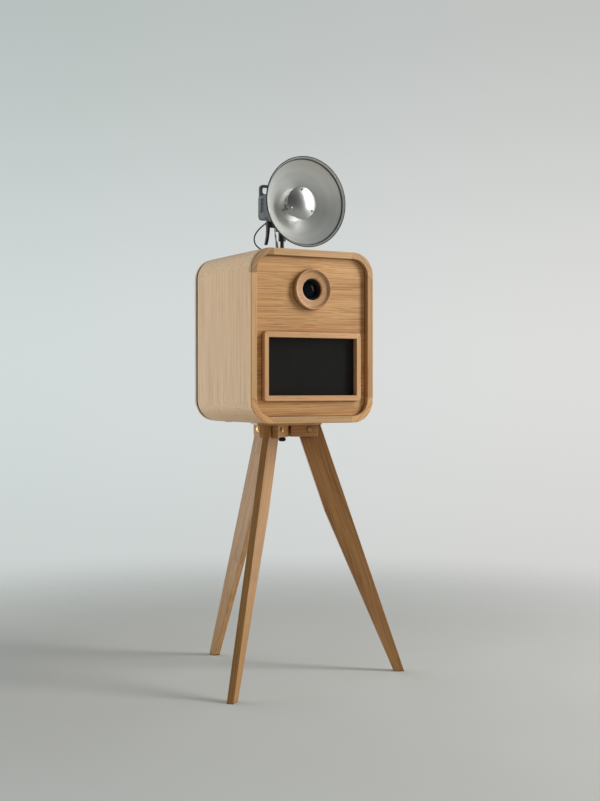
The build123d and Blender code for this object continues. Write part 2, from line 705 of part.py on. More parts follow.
def make_lead(name, points, diameter):
    radii = bend_radii(points)
    path = FilletPolyline(*points, radius=radii)
    section = Plane(origin=path @ 0, z_dir=path % 0) * Circle(diameter / 2)
    tube = sweep(section, path=path)
    expected = path.length * pi * diameter * diameter / 4
    print(name, "length", round(path.length, 1), "radii", [round(r, 1) for r in radii],
          "volume ratio", round(tube.volume / expected, 4))
    return tube


# ---------------------------------------------------------------- flash head

housing_middle = (housing_bottom + housing_top) / 2
housing_height = housing_top - housing_bottom
half_width = housing_width / 2


def make_flash_housing():
    """Moulded shell with a vent recess on each side and two ears below for the tilt bolt."""
    shell = facing_slab(housing_width, housing_height, 13.0, housing_front, housing_back, housing_middle)
    shell = fillet(shell.faces().sort_by(Axis.Y)[0].edges(), 4.0)
    for side in (-1, 1):
        ear = block(ear_inner, ear_outer, -ear_radius - 4, ear_radius + 4, housing_bottom - 6, housing_bottom + 16)
        ear += rod_x(ear_radius, ear_inner, ear_outer, 0, tilt_height)
        ear += block(ear_inner, ear_outer, -ear_radius, ear_radius, tilt_height, housing_bottom)
        ear -= rod_x(hinge_bolt + running_gap, ear_inner - 1, ear_outer + 1, 0, tilt_height)
        shell += ear if side == 1 else ear.mirror(Plane.YZ)
    shell -= facing_slab(housing_width - 2 * housing_wall, housing_height - 2 * housing_wall, 10.0,
                         head_front_plate, housing_back + 1, housing_middle)
    shell -= rod_y(36.0, housing_front - 1, head_front_plate + 1, 0, beam_height)
    for side in (-1, 1):
        for rib in range(4):
            z = housing_middle - 20 + 12.5 * rib
            xs = sorted((side * (half_width - 1.8), side * (half_width + 1)))
            shell -= block(xs[0], xs[1], 50, 70, z, z + 10)
    return shell


def make_rear_panel():
    panel = facing_slab(housing_width, housing_height, 13.0, housing_back, housing_back + rear_panel_depth, housing_middle)
    y1 = housing_back + rear_panel_depth
    panel = fillet(panel.faces().sort_by(Axis.Y)[-1].edges(), 4.0)
    panel -= rod_y(9.0 + 0.4, y1 - 3, y1 + 1, -18, housing_middle + 16)
    panel -= rod_y(3.2, y1 - 9, y1 + 1, -18, housing_middle + 16)
    panel -= rod_y(4.3, y1 - 6, y1 + 1, 20, housing_middle - 4)
    panel -= block(11.5, 28.5, y1 - 9, y1 + 1, housing_middle - 34, housing_middle - 18)
    return panel - block(4, 34, y1 - 1.2, y1 + 1, housing_middle + 10, housing_middle + 26)


def make_power_dial():
    y1 = housing_back + rear_panel_depth
    dial = rod_y(9.0, y1 - 2.6, y1 + 9, -18, housing_middle + 16)
    dial = fillet(dial.faces().sort_by(Axis.Y)[-1].edges(), 1.2)
    dial += rod_y(3.15, y1 - 8.5, y1, -18, housing_middle + 16)
    return dial - block(-18.8, -17.2, y1 + 8, y1 + 10, housing_middle + 17, housing_middle + 25)


def make_test_button():
    y1 = housing_back + rear_panel_depth
    button = rod_y(4.0, y1 - 3.5, y1 + 1.8, 20, housing_middle - 4)
    return fillet(button.faces().sort_by(Axis.Y)[-1].edges(), 0.6)


def make_head_rocker():
    y1 = housing_back + rear_panel_depth
    tile = rocker_tile(15.0, 13.0)
    return tile.moved(Pos(20, y1 - 0.8, housing_middle - 26) * Rot(-90, 0, 0))


def make_handle():
    """Carrying loop across the rear of the housing's top, on a foot that follows the shell."""
    low, high = housing_top - 19.0, handle_top
    loop = facing_slab(housing_width - 5, high - low, 13.0, handle_front, handle_front + handle_bar + 2,
                       (low + high) / 2)
    opening_low, opening_high = housing_top + 4.0, handle_top - handle_bar
    loop -= facing_slab(housing_width - 5 - 2 * handle_bar, opening_high - opening_low, 8.0, handle_front - 1,
                        handle_front + handle_bar + 3, (opening_low + opening_high) / 2)
    body = facing_slab(housing_width, housing_height, 13.0, housing_front, housing_back + rear_panel_depth, housing_middle)
    return (loop - body).solids().sort_by(SortBy.VOLUME)[-1]


def make_flash_tube():
    """Ring-shaped flash tube with the modelling lamp in its middle, on a ceramic base."""
    base = rod_y(34.0, housing_front + 1, head_front_plate, 0, beam_height)
    ring = Pos(0, housing_front - 14, beam_height) * Rot(90, 0, 0) * Torus(25.0, 3.6)
    legs = rod_y(3.0, housing_front - 14, housing_front + 1, -25, beam_height)
    legs += rod_y(3.0, housing_front - 14, housing_front + 1, 25, beam_height)
    lamp = turned_y([(housing_front + 1, 0), (housing_front + 1, 9.0), (housing_front - 12, 9.0), (housing_front - 16, 12.0),
                     (housing_front - 26, 12.5), (housing_front - 33, 9.0), (housing_front - 36, 4.0),
                     (housing_front - 36.6, 0)], 0, beam_height)
    return Compound([(base + ring + legs).solids()[0], lamp.solids()[0]])


def make_dish():
    """Spun bowl with a flared lip and a turned edge, and the mount ring that it is seated by."""
    crease = dish_front + dish_crease
    seat = dish_front + dish_depth
    edge = dish_radius
    w = dish_wall
    inner_middle = (106.0, -119.0)
    outer_middle = (inner_middle[0] + w * 0.66, inner_middle[1] + w * 0.85)
    bowl_in = ThreePointArc((dish_crease_radius, crease), inner_middle, (53.0, seat - 2))
    bowl_out = ThreePointArc((53.0, seat - 2 + w * 1.25), outer_middle, (dish_crease_radius + w, crease + w))
    outline = Wire([
        Line((edge - 2.5, dish_front), (dish_crease_radius, crease)),
        bowl_in,
        Line((53.0, seat - 2), (51.0, seat - 2)),
        Line((51.0, seat - 2), (51.0, seat + 1)),
        Line((51.0, seat + 1), (38.0, seat + 1)),
        Line((38.0, seat + 1), (38.0, seat + 2.5)),
        Line((38.0, seat + 2.5), (49.0, seat + 2.5)),
        Line((49.0, seat + 2.5), (49.0, housing_front)),
        Line((49.0, housing_front), (53.0, housing_front)),
        Line((53.0, housing_front), (53.0, seat - 2 + w * 1.25)),
        bowl_out,
        Line((dish_crease_radius + w, crease + w), (edge - 1.5, dish_front + 3.5)),
        Line((edge - 1.5, dish_front + 3.5), (edge, dish_front + 3.0)),
        Line((edge, dish_front + 3.0), (edge, dish_front)),
        Line((edge, dish_front), (edge - 2.5, dish_front)),
    ])
    return Pos(0, 0, beam_height) * revolve(make_face(outline), Axis.Y)


def deflector_dome(y_edge, rise, wall):
    """Shallow dome, convex to the front."""
    r = deflector_radius
    outline = Wire([
        Line((0, y_edge - rise), (0, y_edge - rise + wall)),
        ThreePointArc((0, y_edge - rise + wall), (r * 0.55, y_edge - rise * 0.70 + wall), (r - 0.6, y_edge + wall)),
        Line((r - 0.6, y_edge + wall), (r, y_edge)),
        ThreePointArc((r, y_edge), (r * 0.55, y_edge - rise * 0.70), (0, y_edge - rise)),
    ])
    return Pos(0, 0, beam_height) * revolve(make_face(outline), Axis.Y)


deflector_edge = dish_front + deflector_set_back
post_angles = (90.0, -33.0, -155.0)


def make_deflector():
    dome = deflector_dome(deflector_edge, 12.0, 1.2)
    for angle in post_angles:
        x = post_circle * cos(radians(angle))
        z = beam_height + post_circle * sin(radians(angle))
        dome -= rod_y(2.0, deflector_edge - 14, deflector_edge + 4, x, z)
    return dome


def make_deflector_posts():
    """Three posts from the dish's mount to the deflector, each with a domed screw in front."""
    posts = []
    for angle in post_angles:
        x = post_circle * cos(radians(angle))
        z = beam_height + post_circle * sin(radians(angle))
        rise = deflector_edge - 3.7
        post = rod_y(2.0, rise - 2.0, dish_front + dish_depth + 1, x, z)
        post += rod_y(3.6, rise + 3.4, dish_front + dish_depth + 1, x, z)
        head = rod_y(4.2, rise - 3.8, rise - 1.6, x, z)
        posts.append(post + fillet(head.faces().sort_by(Axis.Y)[0].edges(), 1.2))
    return Compound([post.solids()[0] for post in posts])


def make_head_boots():
    """Mains boot and sync plug where the two leads enter the underside of the flash."""
    boot = pointing_rod(power_entry, power_route[-1], 6.0, 3.4)
    boot += rod_z(8.5, housing_bottom - 3, housing_bottom, *power_entry[:2])
    boot -= block(-60, 20, 20, 90, housing_bottom, housing_bottom + 20)
    end = Vector(*sync_route[-1])
    direction = (end - Vector(*sync_route[-2])).normalized()
    top = end + direction * ((housing_bottom - end.Z) / direction.Z + 1)
    plug = pointing_rod(tuple(end), tuple(top), 3.6)
    plug += rod_z(5.0, housing_bottom - 2, housing_bottom, top.X, top.Y)
    plug -= block(-80, 20, -80, 0, housing_bottom, housing_bottom + 20)
    return Compound([boot.solids()[0], plug.solids()[0]])


# ---------------------------------------------------------------- all sub-parts

parts["head_board"] = make_head_board()
parts["hinge_cheeks"] = make_cheeks()
parts["hinge_bolts"] = make_hinge_bolts()
parts["head_knob"] = make_head_knob()
for name, angle in zip(("leg_back", "leg_left", "leg_right"), leg_angles):
    parts[name] = make_leg(angle)

parts["sleeve"] = make_sleeve()
parts.update(make_front_frame())
parts["front_panel"] = make_front_panel()
parts["lens_ring"] = make_lens_ring()
parts["screen_bezel"] = make_screen_bezel()
parts["reveal_frame"] = make_reveal_frame()
parts["base_plate"] = make_base_plate()
parts["camera_shelf"] = make_camera_shelf()
parts["display_glass"] = make_display_glass()
parts["display_case"] = make_display_case()
parts["display_brackets"] = make_display_brackets()
parts["camera_body"] = make_camera_body()
parts["lens_barrel"] = make_lens_barrel()
parts["lens_glass"] = make_lens_glass()
parts["lens_focus_ring"] = make_grip_ring(lens_front + 13.5, lens_front + 29, 33.5, 36)
parts["lens_zoom_ring"] = make_grip_ring(lens_front + 36, -124, 35.0, 30)
parts["shutter_button"] = make_shutter_button()
parts["camera_screw"] = make_camera_screw()
parts["computer_case"] = make_computer_case()
parts["computer_button"] = make_computer_button()
parts["power_strip"] = make_power_strip()
parts["mains_inlet"] = make_mains_inlet()
parts["mains_rocker"] = make_mains_rocker()

parts["back_door"] = make_door()
parts["hinge_leaves_door"] = make_hinge_leaves(True)
parts["hinge_leaves_cabinet"] = make_hinge_leaves(False)
parts["hinge_pins"] = make_hinge_pins()
parts["catch_magnets"] = make_catch_magnets()

parts["swivel_plate"] = make_swivel_plate()
parts["spigot"] = make_spigot()
parts["tilt_bracket"] = make_tilt_bracket()
parts["clamp_screw"] = make_clamp_screw()
parts["tilt_lever"] = make_tilt_lever()
parts["cable_grommet"] = make_cable_grommet()
parts["jack_plug"] = make_jack_plug()
parts["power_lead"] = make_lead("power_lead", power_route, power_lead)
parts["sync_lead"] = make_lead("sync_lead", sync_route, sync_lead)

parts["flash_housing"] = make_flash_housing()
parts["flash_rear_panel"] = make_rear_panel()
parts["flash_handle"] = make_handle()
parts["flash_tube"] = make_flash_tube()
parts["dish"] = make_dish()
parts["deflector"] = make_deflector()
parts["deflector_posts"] = make_deflector_posts()
parts["power_dial"] = make_power_dial()
parts["test_button"] = make_test_button()
parts["power_rocker"] = make_head_rocker()
parts["head_cable_boots"] = make_head_boots()

# the footprint's middle becomes the origin
whole = Compound([solid for shape in parts.values() for solid in shape.solids()]).bounding_box()
shift_x = -(whole.min.X + whole.max.X) / 2
shift_y = -(whole.min.Y + whole.max.Y) / 2
print("shift", round(shift_x, 4), round(shift_y, 4))
print("size", [round(v, 2) for v in (whole.size.X, whole.size.Y, whole.size.Z)], "lowest", round(whole.min.Z, 3))

os.makedirs("parts", exist_ok=True)
for name, shape in parts.items():
    moved = shape.moved(Pos(shift_x, shift_y, 0))
    export_step(moved, "parts/" + name + ".step")
print(len(parts), "sub-parts written")
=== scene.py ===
import bpy
import bmesh
import math
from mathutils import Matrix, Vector


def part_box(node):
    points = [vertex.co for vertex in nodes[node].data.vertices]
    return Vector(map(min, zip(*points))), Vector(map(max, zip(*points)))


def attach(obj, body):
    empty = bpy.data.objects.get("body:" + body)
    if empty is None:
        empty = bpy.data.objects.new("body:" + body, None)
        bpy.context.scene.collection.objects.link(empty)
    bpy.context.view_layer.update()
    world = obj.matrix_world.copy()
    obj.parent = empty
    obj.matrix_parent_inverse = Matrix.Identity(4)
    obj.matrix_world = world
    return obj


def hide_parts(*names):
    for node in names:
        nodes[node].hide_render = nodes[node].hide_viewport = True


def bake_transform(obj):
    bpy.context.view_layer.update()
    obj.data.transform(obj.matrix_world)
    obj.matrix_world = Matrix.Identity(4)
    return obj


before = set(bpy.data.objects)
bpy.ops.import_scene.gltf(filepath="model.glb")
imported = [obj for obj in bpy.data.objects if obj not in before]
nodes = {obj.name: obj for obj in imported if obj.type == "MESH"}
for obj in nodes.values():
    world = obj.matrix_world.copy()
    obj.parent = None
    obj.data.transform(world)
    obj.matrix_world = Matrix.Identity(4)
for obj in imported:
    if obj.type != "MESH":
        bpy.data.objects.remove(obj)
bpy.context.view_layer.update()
scene = bpy.context.scene
scene.view_settings.view_transform = "Standard"


def boxMiddle(name):
    low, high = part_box(name)
    return (low + high) / 2


standAxis = boxMiddle("spigot")          # the upright line that the cabinet and the flash turn on
dishMiddle = boxMiddle("dish")
lensMiddle = boxMiddle("lens_glass")
cabinetMiddle = boxMiddle("sleeve")
print("frame loaded")

view = {"place": (-2.0317, -3.8270, 0.9901), "turn": 28.84, "dip": 0.57, "lens": 55.4}

cameraData = bpy.data.cameras.new("standingEye")
cameraData.lens = view["lens"]
cameraData.sensor_width = 36.0
camera = bpy.data.objects.new("standingEye", cameraData)
camera.location = view["place"]
camera.rotation_euler = (math.radians(90 - view["dip"]), 0, -math.radians(view["turn"]))
scene.collection.objects.link(camera)
scene.camera = camera
print("camera placed")


def meshPiece(name, points, faces):
    mesh = bpy.data.meshes.new(name)
    mesh.from_pydata([tuple(point) for point in points], [], faces)
    mesh.shade_smooth()
    piece = bpy.data.objects.new(name, mesh)
    scene.collection.objects.link(piece)
    return piece


def outward(piece, weld=1e-6):   # merges doubles and turns every face outwards
    shape = bmesh.new()
    shape.from_mesh(piece.data)
    bmesh.ops.remove_doubles(shape, verts=shape.verts, dist=weld)
    bmesh.ops.recalc_face_normals(shape, faces=shape.faces)
    shape.to_mesh(piece.data)
    shape.free()
    return piece


# a closed tube along sampled points; its UV map runs round the tube and along it in metres
def tubeAlong(name, line, radius, sides):
    points, faces, distances = [], [], []
    up = Vector((1, 0, 0))
    travelled = 0.0
    for step, here in enumerate(line):
        ahead = (line[min(step + 1, len(line) - 1)] - line[max(step - 1, 0)]).normalized()
        up = (up - ahead * up.dot(ahead)).normalized()
        side = ahead.cross(up)
        travelled += (here - line[step - 1]).length if step else 0.0
        distances.append(travelled)
        for k in range(sides):
            a = 2 * math.pi * k / sides
            points.append(here + (up * math.cos(a) + side * math.sin(a)) * radius)
    for step in range(len(line) - 1):
        for k in range(sides):
            a, b = step * sides + k, step * sides + (k + 1) % sides
            faces.append((a, b, b + sides, a + sides))
    faces.append(tuple(reversed(range(sides))))
    faces.append(tuple(range(len(points) - sides, len(points))))
    piece = outward(meshPiece(name, points, faces))
    layer = piece.data.uv_layers.new(name="wrap")
    for polygon in piece.data.polygons:
        for corner in polygon.loop_indices:
            vertex = piece.data.loops[corner].vertex_index
            layer.data[corner].uv = ((vertex % sides) / sides, distances[min(vertex // sides, len(distances) - 1)])
    return piece


# turns (y, radius) points about a line along Y; a radius of 0 makes a pole
def spun(name, profile, middle, segments=120):
    points, faces, starts = [], [], []
    for y, radius in profile:
        starts.append(len(points))
        for k in range(segments if radius > 1e-9 else 1):
            a = 2 * math.pi * k / segments
            points.append((middle.x + radius * math.cos(a), y, middle.z + radius * math.sin(a)))
    for step, (_, radius) in enumerate(profile):
        after = (step + 1) % len(profile)
        poleHere, poleAfter = radius <= 1e-9, profile[after][1] <= 1e-9
        if poleHere and poleAfter:
            continue
        for k in range(segments):
            n = (k + 1) % segments
            near = [starts[step]] if poleHere else [starts[step] + k, starts[step] + n]
            far = [starts[after]] if poleAfter else [starts[after] + n, starts[after] + k]
            faces.append(tuple(near + far))
    return outward(meshPiece(name, points, faces))


# points on the round arc from a to c through b, each a pair
def arcThrough(a, b, c, steps):
    (ax, ay), (bx, by), (cx, cy) = a, b, c
    twice = 2 * (ax * (by - cy) + bx * (cy - ay) + cx * (ay - by))
    squares = [x * x + y * y for x, y in (a, b, c)]
    ox = (squares[0] * (by - cy) + squares[1] * (cy - ay) + squares[2] * (ay - by)) / twice
    oy = (squares[0] * (cx - bx) + squares[1] * (ax - cx) + squares[2] * (bx - ax)) / twice
    radius = math.hypot(ax - ox, ay - oy)
    first, last = math.atan2(ay - oy, ax - ox), math.atan2(cy - oy, cx - ox)
    sweep = (last - first + math.pi) % (2 * math.pi) - math.pi
    return [(ox + radius * math.cos(first + sweep * k / steps), oy + radius * math.sin(first + sweep * k / steps))
            for k in range(steps + 1)]


leads = {
    "powerLead": {
        "node": "power_lead", "width": 0.005, "length": 0.161, "sides": 20, "slot": "lead_rubber",
        "route": [(-0.0296, 0.0532, 1.4616), (-0.0370, 0.0690, 1.4690), (-0.0450, 0.0880, 1.4790),
                  (-0.0510, 0.1040, 1.4930), (-0.0530, 0.1110, 1.5110), (-0.0500, 0.1070, 1.5290),
                  (-0.0430, 0.0930, 1.5450), (-0.0350, 0.0760, 1.5570), (-0.0300, 0.0630, 1.5640)],
    },
    "syncLead": {
        "node": "sync_lead", "width": 0.003, "length": 0.0525, "sides": 16, "slot": "lead_rubber",
        "route": [(-0.0440, -0.0330, 1.5150), (-0.0465, -0.0335, 1.5270), (-0.0465, -0.0360, 1.5400),
                  (-0.0445, -0.0375, 1.5530), (-0.0400, -0.0355, 1.5660)],
    },
}


# samples of the smooth curve whose control points are the route
def routeLine(points, steps=16):
    data = bpy.data.curves.new("route", "CURVE")
    data.dimensions = "3D"
    data.resolution_u = steps
    spline = data.splines.new("NURBS")
    spline.points.add(len(points) - 1)
    for point, place in zip(spline.points, points):
        point.co = (*place, 1.0)
    spline.order_u = 3
    spline.use_endpoint_u = True
    holder = bpy.data.objects.new("route", data)
    scene.collection.objects.link(holder)
    bpy.context.view_layer.update()
    line = bpy.data.meshes.new_from_object(holder)
    sampled = [vertex.co.copy() for vertex in line.vertices]
    bpy.data.objects.remove(holder)
    bpy.data.meshes.remove(line)
    return sampled


leadPieces = []
for name, lead in leads.items():
    line = routeLine([Vector(p) + Vector((standAxis.x, standAxis.y, 0)) for p in lead["route"]])
    piece = tubeAlong(name, line, lead["width"] / 2, lead["sides"])
    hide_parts(lead["node"])
    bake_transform(piece)
    leadPieces.append(piece)
print("leads laid")

# depth is measured back from the dish's front edge
dish = {"rim": 0.151, "bead": 0.0021, "crease": (0.0125, 0.1415), "creaseRound": 0.0012, "middle": (0.056, 0.106),
        "seat": (0.088, 0.053), "collar": (0.101, 0.049), "hole": (0.091, 0.038), "wall": 0.0014}


def makeDishBowl():
    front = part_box("dish")[0].y
    wall = dish["wall"]
    (creaseDepth, creaseRadius), (seatDepth, seatRadius) = dish["crease"], dish["seat"]
    beadMiddle = (dish["bead"] * 1.25, dish["rim"] - dish["bead"])
    inside = [(beadMiddle[0] + dish["bead"] * math.cos(a), beadMiddle[1] + dish["bead"] * math.sin(a))
              for a in (math.radians(80 + 25 * k) for k in range(9))]
    ridge = dish["creaseRound"]
    lip = [(0.0055, dish["rim"] - 0.0046), (creaseDepth - 1.6 * ridge, creaseRadius + 1.1 * ridge),
           (creaseDepth - 0.9 * ridge, creaseRadius - 0.1 * ridge), (creaseDepth, creaseRadius - 0.5 * ridge),
           (creaseDepth + 0.7 * ridge, creaseRadius - 0.4 * ridge)]
    bowl = arcThrough(dish["crease"], dish["middle"], dish["seat"], 28)
    mount = [(seatDepth, 0.0505), (dish["hole"][0], 0.0502), (dish["hole"][0], dish["hole"][1]),
             (dish["hole"][0] + 0.0015, dish["hole"][1]), (dish["hole"][0] + 0.0015, dish["collar"][1]),
             dish["collar"], (dish["collar"][0], 0.053)]
    outer = arcThrough((seatDepth + 1.25 * wall, seatRadius), (dish["middle"][0] + wall * 0.85, dish["middle"][1] + wall * 0.66),
                       (creaseDepth + wall, creaseRadius + wall), 28)
    outside = [(0.0062, dish["rim"] - 0.0026)]
    profile = [(front + depth, radius) for depth, radius in inside + lip + bowl[1:] + mount + outer + outside]
    piece = spun("dishBowl", profile, dishMiddle, 160)
    piece.data.set_sharp_from_angle(angle=math.radians(40))
    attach(piece, "flash")
    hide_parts("dish")
    return piece


deflector = {"radius": 0.055, "rise": 0.012, "wall": 0.0012, "rings": 18}


def makeDeflectorDome():
    low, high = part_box("deflector")
    rise, radius, edge = deflector["rise"], deflector["radius"], low.y + deflector["rise"]
    sphere = (radius ** 2 + rise ** 2) / (2 * rise)
    front, back = [(low.y, 0.0)], []
    for k in range(1, deflector["rings"] + 1):
        r = (radius - 0.0008) * k / deflector["rings"]
        sink = sphere - math.sqrt(sphere ** 2 - r ** 2)
        front.append((low.y + sink, r))
        back.append((low.y + sink + deflector["wall"], max(r - 0.0004, 0.0)))
    rolled = [(edge + 0.0002, radius - 0.0001), (edge + 0.0008, radius), (edge + 0.0014, radius - 0.0005)]
    profile = front + rolled + back[::-1] + [(low.y + deflector["wall"], 0.0)]
    piece = spun("deflectorDome", profile, dishMiddle, 120)
    piece.data.set_sharp_from_angle(angle=math.radians(50))
    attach(piece, "flash")
    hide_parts("deflector")
    return piece


dishBowl, deflectorDome = makeDishBowl(), makeDeflectorDome()
print("dish and deflector spun")


def newGeometryTree(name, inputs):
    tree = bpy.data.node_groups.new(name, "GeometryNodeTree")
    tree.is_modifier = True
    tree.interface.new_socket("Geometry", in_out="INPUT", socket_type="NodeSocketGeometry")
    for label, kind, value in inputs:
        socket = tree.interface.new_socket(label, in_out="INPUT", socket_type="NodeSocket" + kind)
        if value is not None:
            socket.default_value = value
    tree.interface.new_socket("Geometry", in_out="OUTPUT", socket_type="NodeSocketGeometry")
    return tree, tree.nodes.new("NodeGroupInput").outputs, tree.nodes.new("NodeGroupOutput").inputs


# adds a node; a value is a number, a vector, or another node's socket to link from
def geo(tree, kind, values=None, **settings):
    made = tree.nodes.new(kind)
    for key, value in settings.items():
        setattr(made, key, value)
    for key, value in (values or {}).items():
        if isinstance(value, bpy.types.NodeSocket):
            tree.links.new(value, made.inputs[key])
        else:
            made.inputs[key].default_value = value
    return made


# turns the instances, moves them to their place, makes them real and gives them their material
def finishTree(tree, given, put, instances):
    placed = geo(tree, "GeometryNodeTransform", {"Geometry": instances, "Translation": given["Middle"],
                                                 "Rotation": given["Turn"]}).outputs[0]
    real = geo(tree, "GeometryNodeRealizeInstances", {"Geometry": placed}).outputs[0]
    painted = geo(tree, "GeometryNodeSetMaterial", {"Geometry": real, "Material": given["Material"]}).outputs[0]
    tree.links.new(painted, put["Geometry"])
    return tree


placing = [("Middle", "Vector", (0, 0, 0)), ("Turn", "Vector", (0, 0, 0)), ("Material", "Material", None)]


# round bars side by side on a ring, lying along its axis or out along its radius
def makeBarsTree():
    tree, given, put = newGeometryTree("barsAround", [
        ("Bars", "Int", 40), ("Ring Radius", "Float", 0.03), ("Bar Radius", "Float", 0.0008),
        ("Bar Length", "Float", 0.01), ("Bar Tilt", "Vector", (0, 0, 0))] + placing)
    ring = geo(tree, "GeometryNodeMeshCircle", {"Vertices": given["Bars"], "Radius": given["Ring Radius"]}).outputs[0]
    bar = geo(tree, "GeometryNodeMeshCylinder", {"Vertices": 8, "Radius": given["Bar Radius"],
                                                 "Depth": given["Bar Length"]}).outputs[0]
    bar = geo(tree, "GeometryNodeTransform", {"Geometry": bar, "Rotation": given["Bar Tilt"]}).outputs[0]
    out = geo(tree, "FunctionNodeAlignRotationToVector", {"Vector": geo(tree, "GeometryNodeInputPosition").outputs[0]},
              axis="X").outputs[0]
    bars = geo(tree, "GeometryNodeInstanceOnPoints", {"Points": ring, "Instance": bar, "Rotation": out}).outputs[0]
    return finishTree(tree, given, put, bars)


# domed heads with a cross recess, each turned by chance, on the points of the starting mesh
def makeScrewTree():
    tree, given, put = newGeometryTree("screwHeads", [
        ("Head Radius", "Float", 0.003), ("Head Height", "Float", 0.001), ("Slot Width", "Float", 0.0007),
        ("Seed", "Int", 3)] + placing)
    dome = geo(tree, "GeometryNodeMeshUVSphere", {"Segments": 14, "Rings": 6, "Radius": given["Head Radius"]}).outputs[0]
    flat = geo(tree, "ShaderNodeMath", {0: given["Head Height"], 1: given["Head Radius"]}, operation="DIVIDE").outputs[0]
    squat = geo(tree, "ShaderNodeCombineXYZ", {0: 1.0, 1: 1.0, 2: flat}).outputs[0]
    dome = geo(tree, "GeometryNodeTransform", {"Geometry": dome, "Scale": squat}).outputs[0]
    long = geo(tree, "ShaderNodeMath", {0: given["Head Radius"], 1: 1.2}, operation="MULTIPLY").outputs[0]
    slots = []
    for size in ((long, given["Slot Width"]), (given["Slot Width"], long)):
        shape = geo(tree, "ShaderNodeCombineXYZ", {0: size[0], 1: size[1], 2: given["Head Height"]}).outputs[0]
        slots.append(geo(tree, "GeometryNodeMeshCube", {"Size": shape}).outputs[0])
    lift = geo(tree, "ShaderNodeCombineXYZ", {2: given["Head Height"]}).outputs[0]
    join = geo(tree, "GeometryNodeJoinGeometry")
    for slot in slots:
        tree.links.new(geo(tree, "GeometryNodeTransform", {"Geometry": slot, "Translation": lift}).outputs[0],
                       join.inputs[0])
    cut = geo(tree, "GeometryNodeMeshBoolean", {"Mesh 1": dome, "Mesh 2": join.outputs[0]}, operation="DIFFERENCE")
    spin = geo(tree, "FunctionNodeRandomValue", {"Min": (0, 0, 0), "Max": (0, 0, 6.283), "Seed": given["Seed"]},
               data_type="FLOAT_VECTOR").outputs[0]
    heads = geo(tree, "GeometryNodeInstanceOnPoints", {"Points": given["Geometry"], "Instance": cut.outputs[0],
                                                       "Rotation": spin}).outputs[0]
    return finishTree(tree, given, put, heads)


# thin leaning slats one above another
def makeSlatTree():
    tree, given, put = newGeometryTree("ventSlats", [
        ("Slats", "Int", 12), ("Step", "Vector", (0, 0, 0.003)), ("Slat Size", "Vector", (0.001, 0.02, 0.001)),
        ("Lean", "Vector", (0, 0.5, 0))] + placing)
    row = geo(tree, "GeometryNodeMeshLine", {"Count": given["Slats"], "Offset": given["Step"]}).outputs[0]
    slat = geo(tree, "GeometryNodeMeshCube", {"Size": given["Slat Size"]}).outputs[0]
    slat = geo(tree, "GeometryNodeTransform", {"Geometry": slat, "Rotation": given["Lean"]}).outputs[0]
    slats = geo(tree, "GeometryNodeInstanceOnPoints", {"Points": row, "Instance": slat}).outputs[0]
    return finishTree(tree, given, put, slats)


barsTree, screwTree, slatTree = makeBarsTree(), makeScrewTree(), makeSlatTree()


# grows one mesh from a tree, on a starting mesh of loose points
def grown(name, tree, values, starts=((0, 0, 0),)):
    holder = meshPiece(name, starts, [])
    modifier = holder.modifiers.new("grow", "NODES")
    modifier.node_group = tree
    for item in tree.interface.items_tree:
        if item.item_type == "SOCKET" and item.in_out == "INPUT" and item.name in values:
            modifier[item.identifier] = values[item.name]
    bpy.context.view_layer.update()
    mesh = bpy.data.meshes.new_from_object(holder.evaluated_get(bpy.context.evaluated_depsgraph_get()))
    holder.modifiers.remove(modifier)
    holder.data = mesh
    mesh.name = name
    return outward(holder, 1e-7)


bars = {
    "focusGripRibs": {"on": "lens_focus_ring", "body": "focus_ring", "slot": "lens_rubber", "count": 64,
                      "ring": 0.0330, "bar": 0.0008, "inset": 0.0012},
    "zoomGripRibs": {"on": "lens_zoom_ring", "body": "zoom_ring", "slot": "lens_rubber", "count": 60,
                     "ring": 0.0346, "bar": 0.0007, "inset": 0.0060},
    "powerDialRibs": {"on": "power_dial", "body": "power_dial", "slot": "black_plastic", "count": 24,
                      "bar": 0.0005, "inset": 0.0030},
}
dialTicks = {"count": 11, "ring": 0.0125, "bar": 0.00035, "long": 0.0022}
screws = {
    "panelScrews": {"body": "flash", "slot": "black_metal", "head": 0.0028, "height": 0.0011, "slotWide": 0.0006},
    "plateScrews": {"body": "swivel", "slot": "black_metal", "head": 0.0040, "height": 0.0014, "slotWide": 0.0009},
    "baseScrews": {"body": "cabinet", "slot": "steel", "head": 0.0040, "height": 0.0014, "slotWide": 0.0009},
}
vents = {"slats": 16, "pitch": 0.0031, "size": (0.0012, 0.0195, 0.0008), "lean": 0.6, "rear": 0.0240, "sunk": 0.0010}


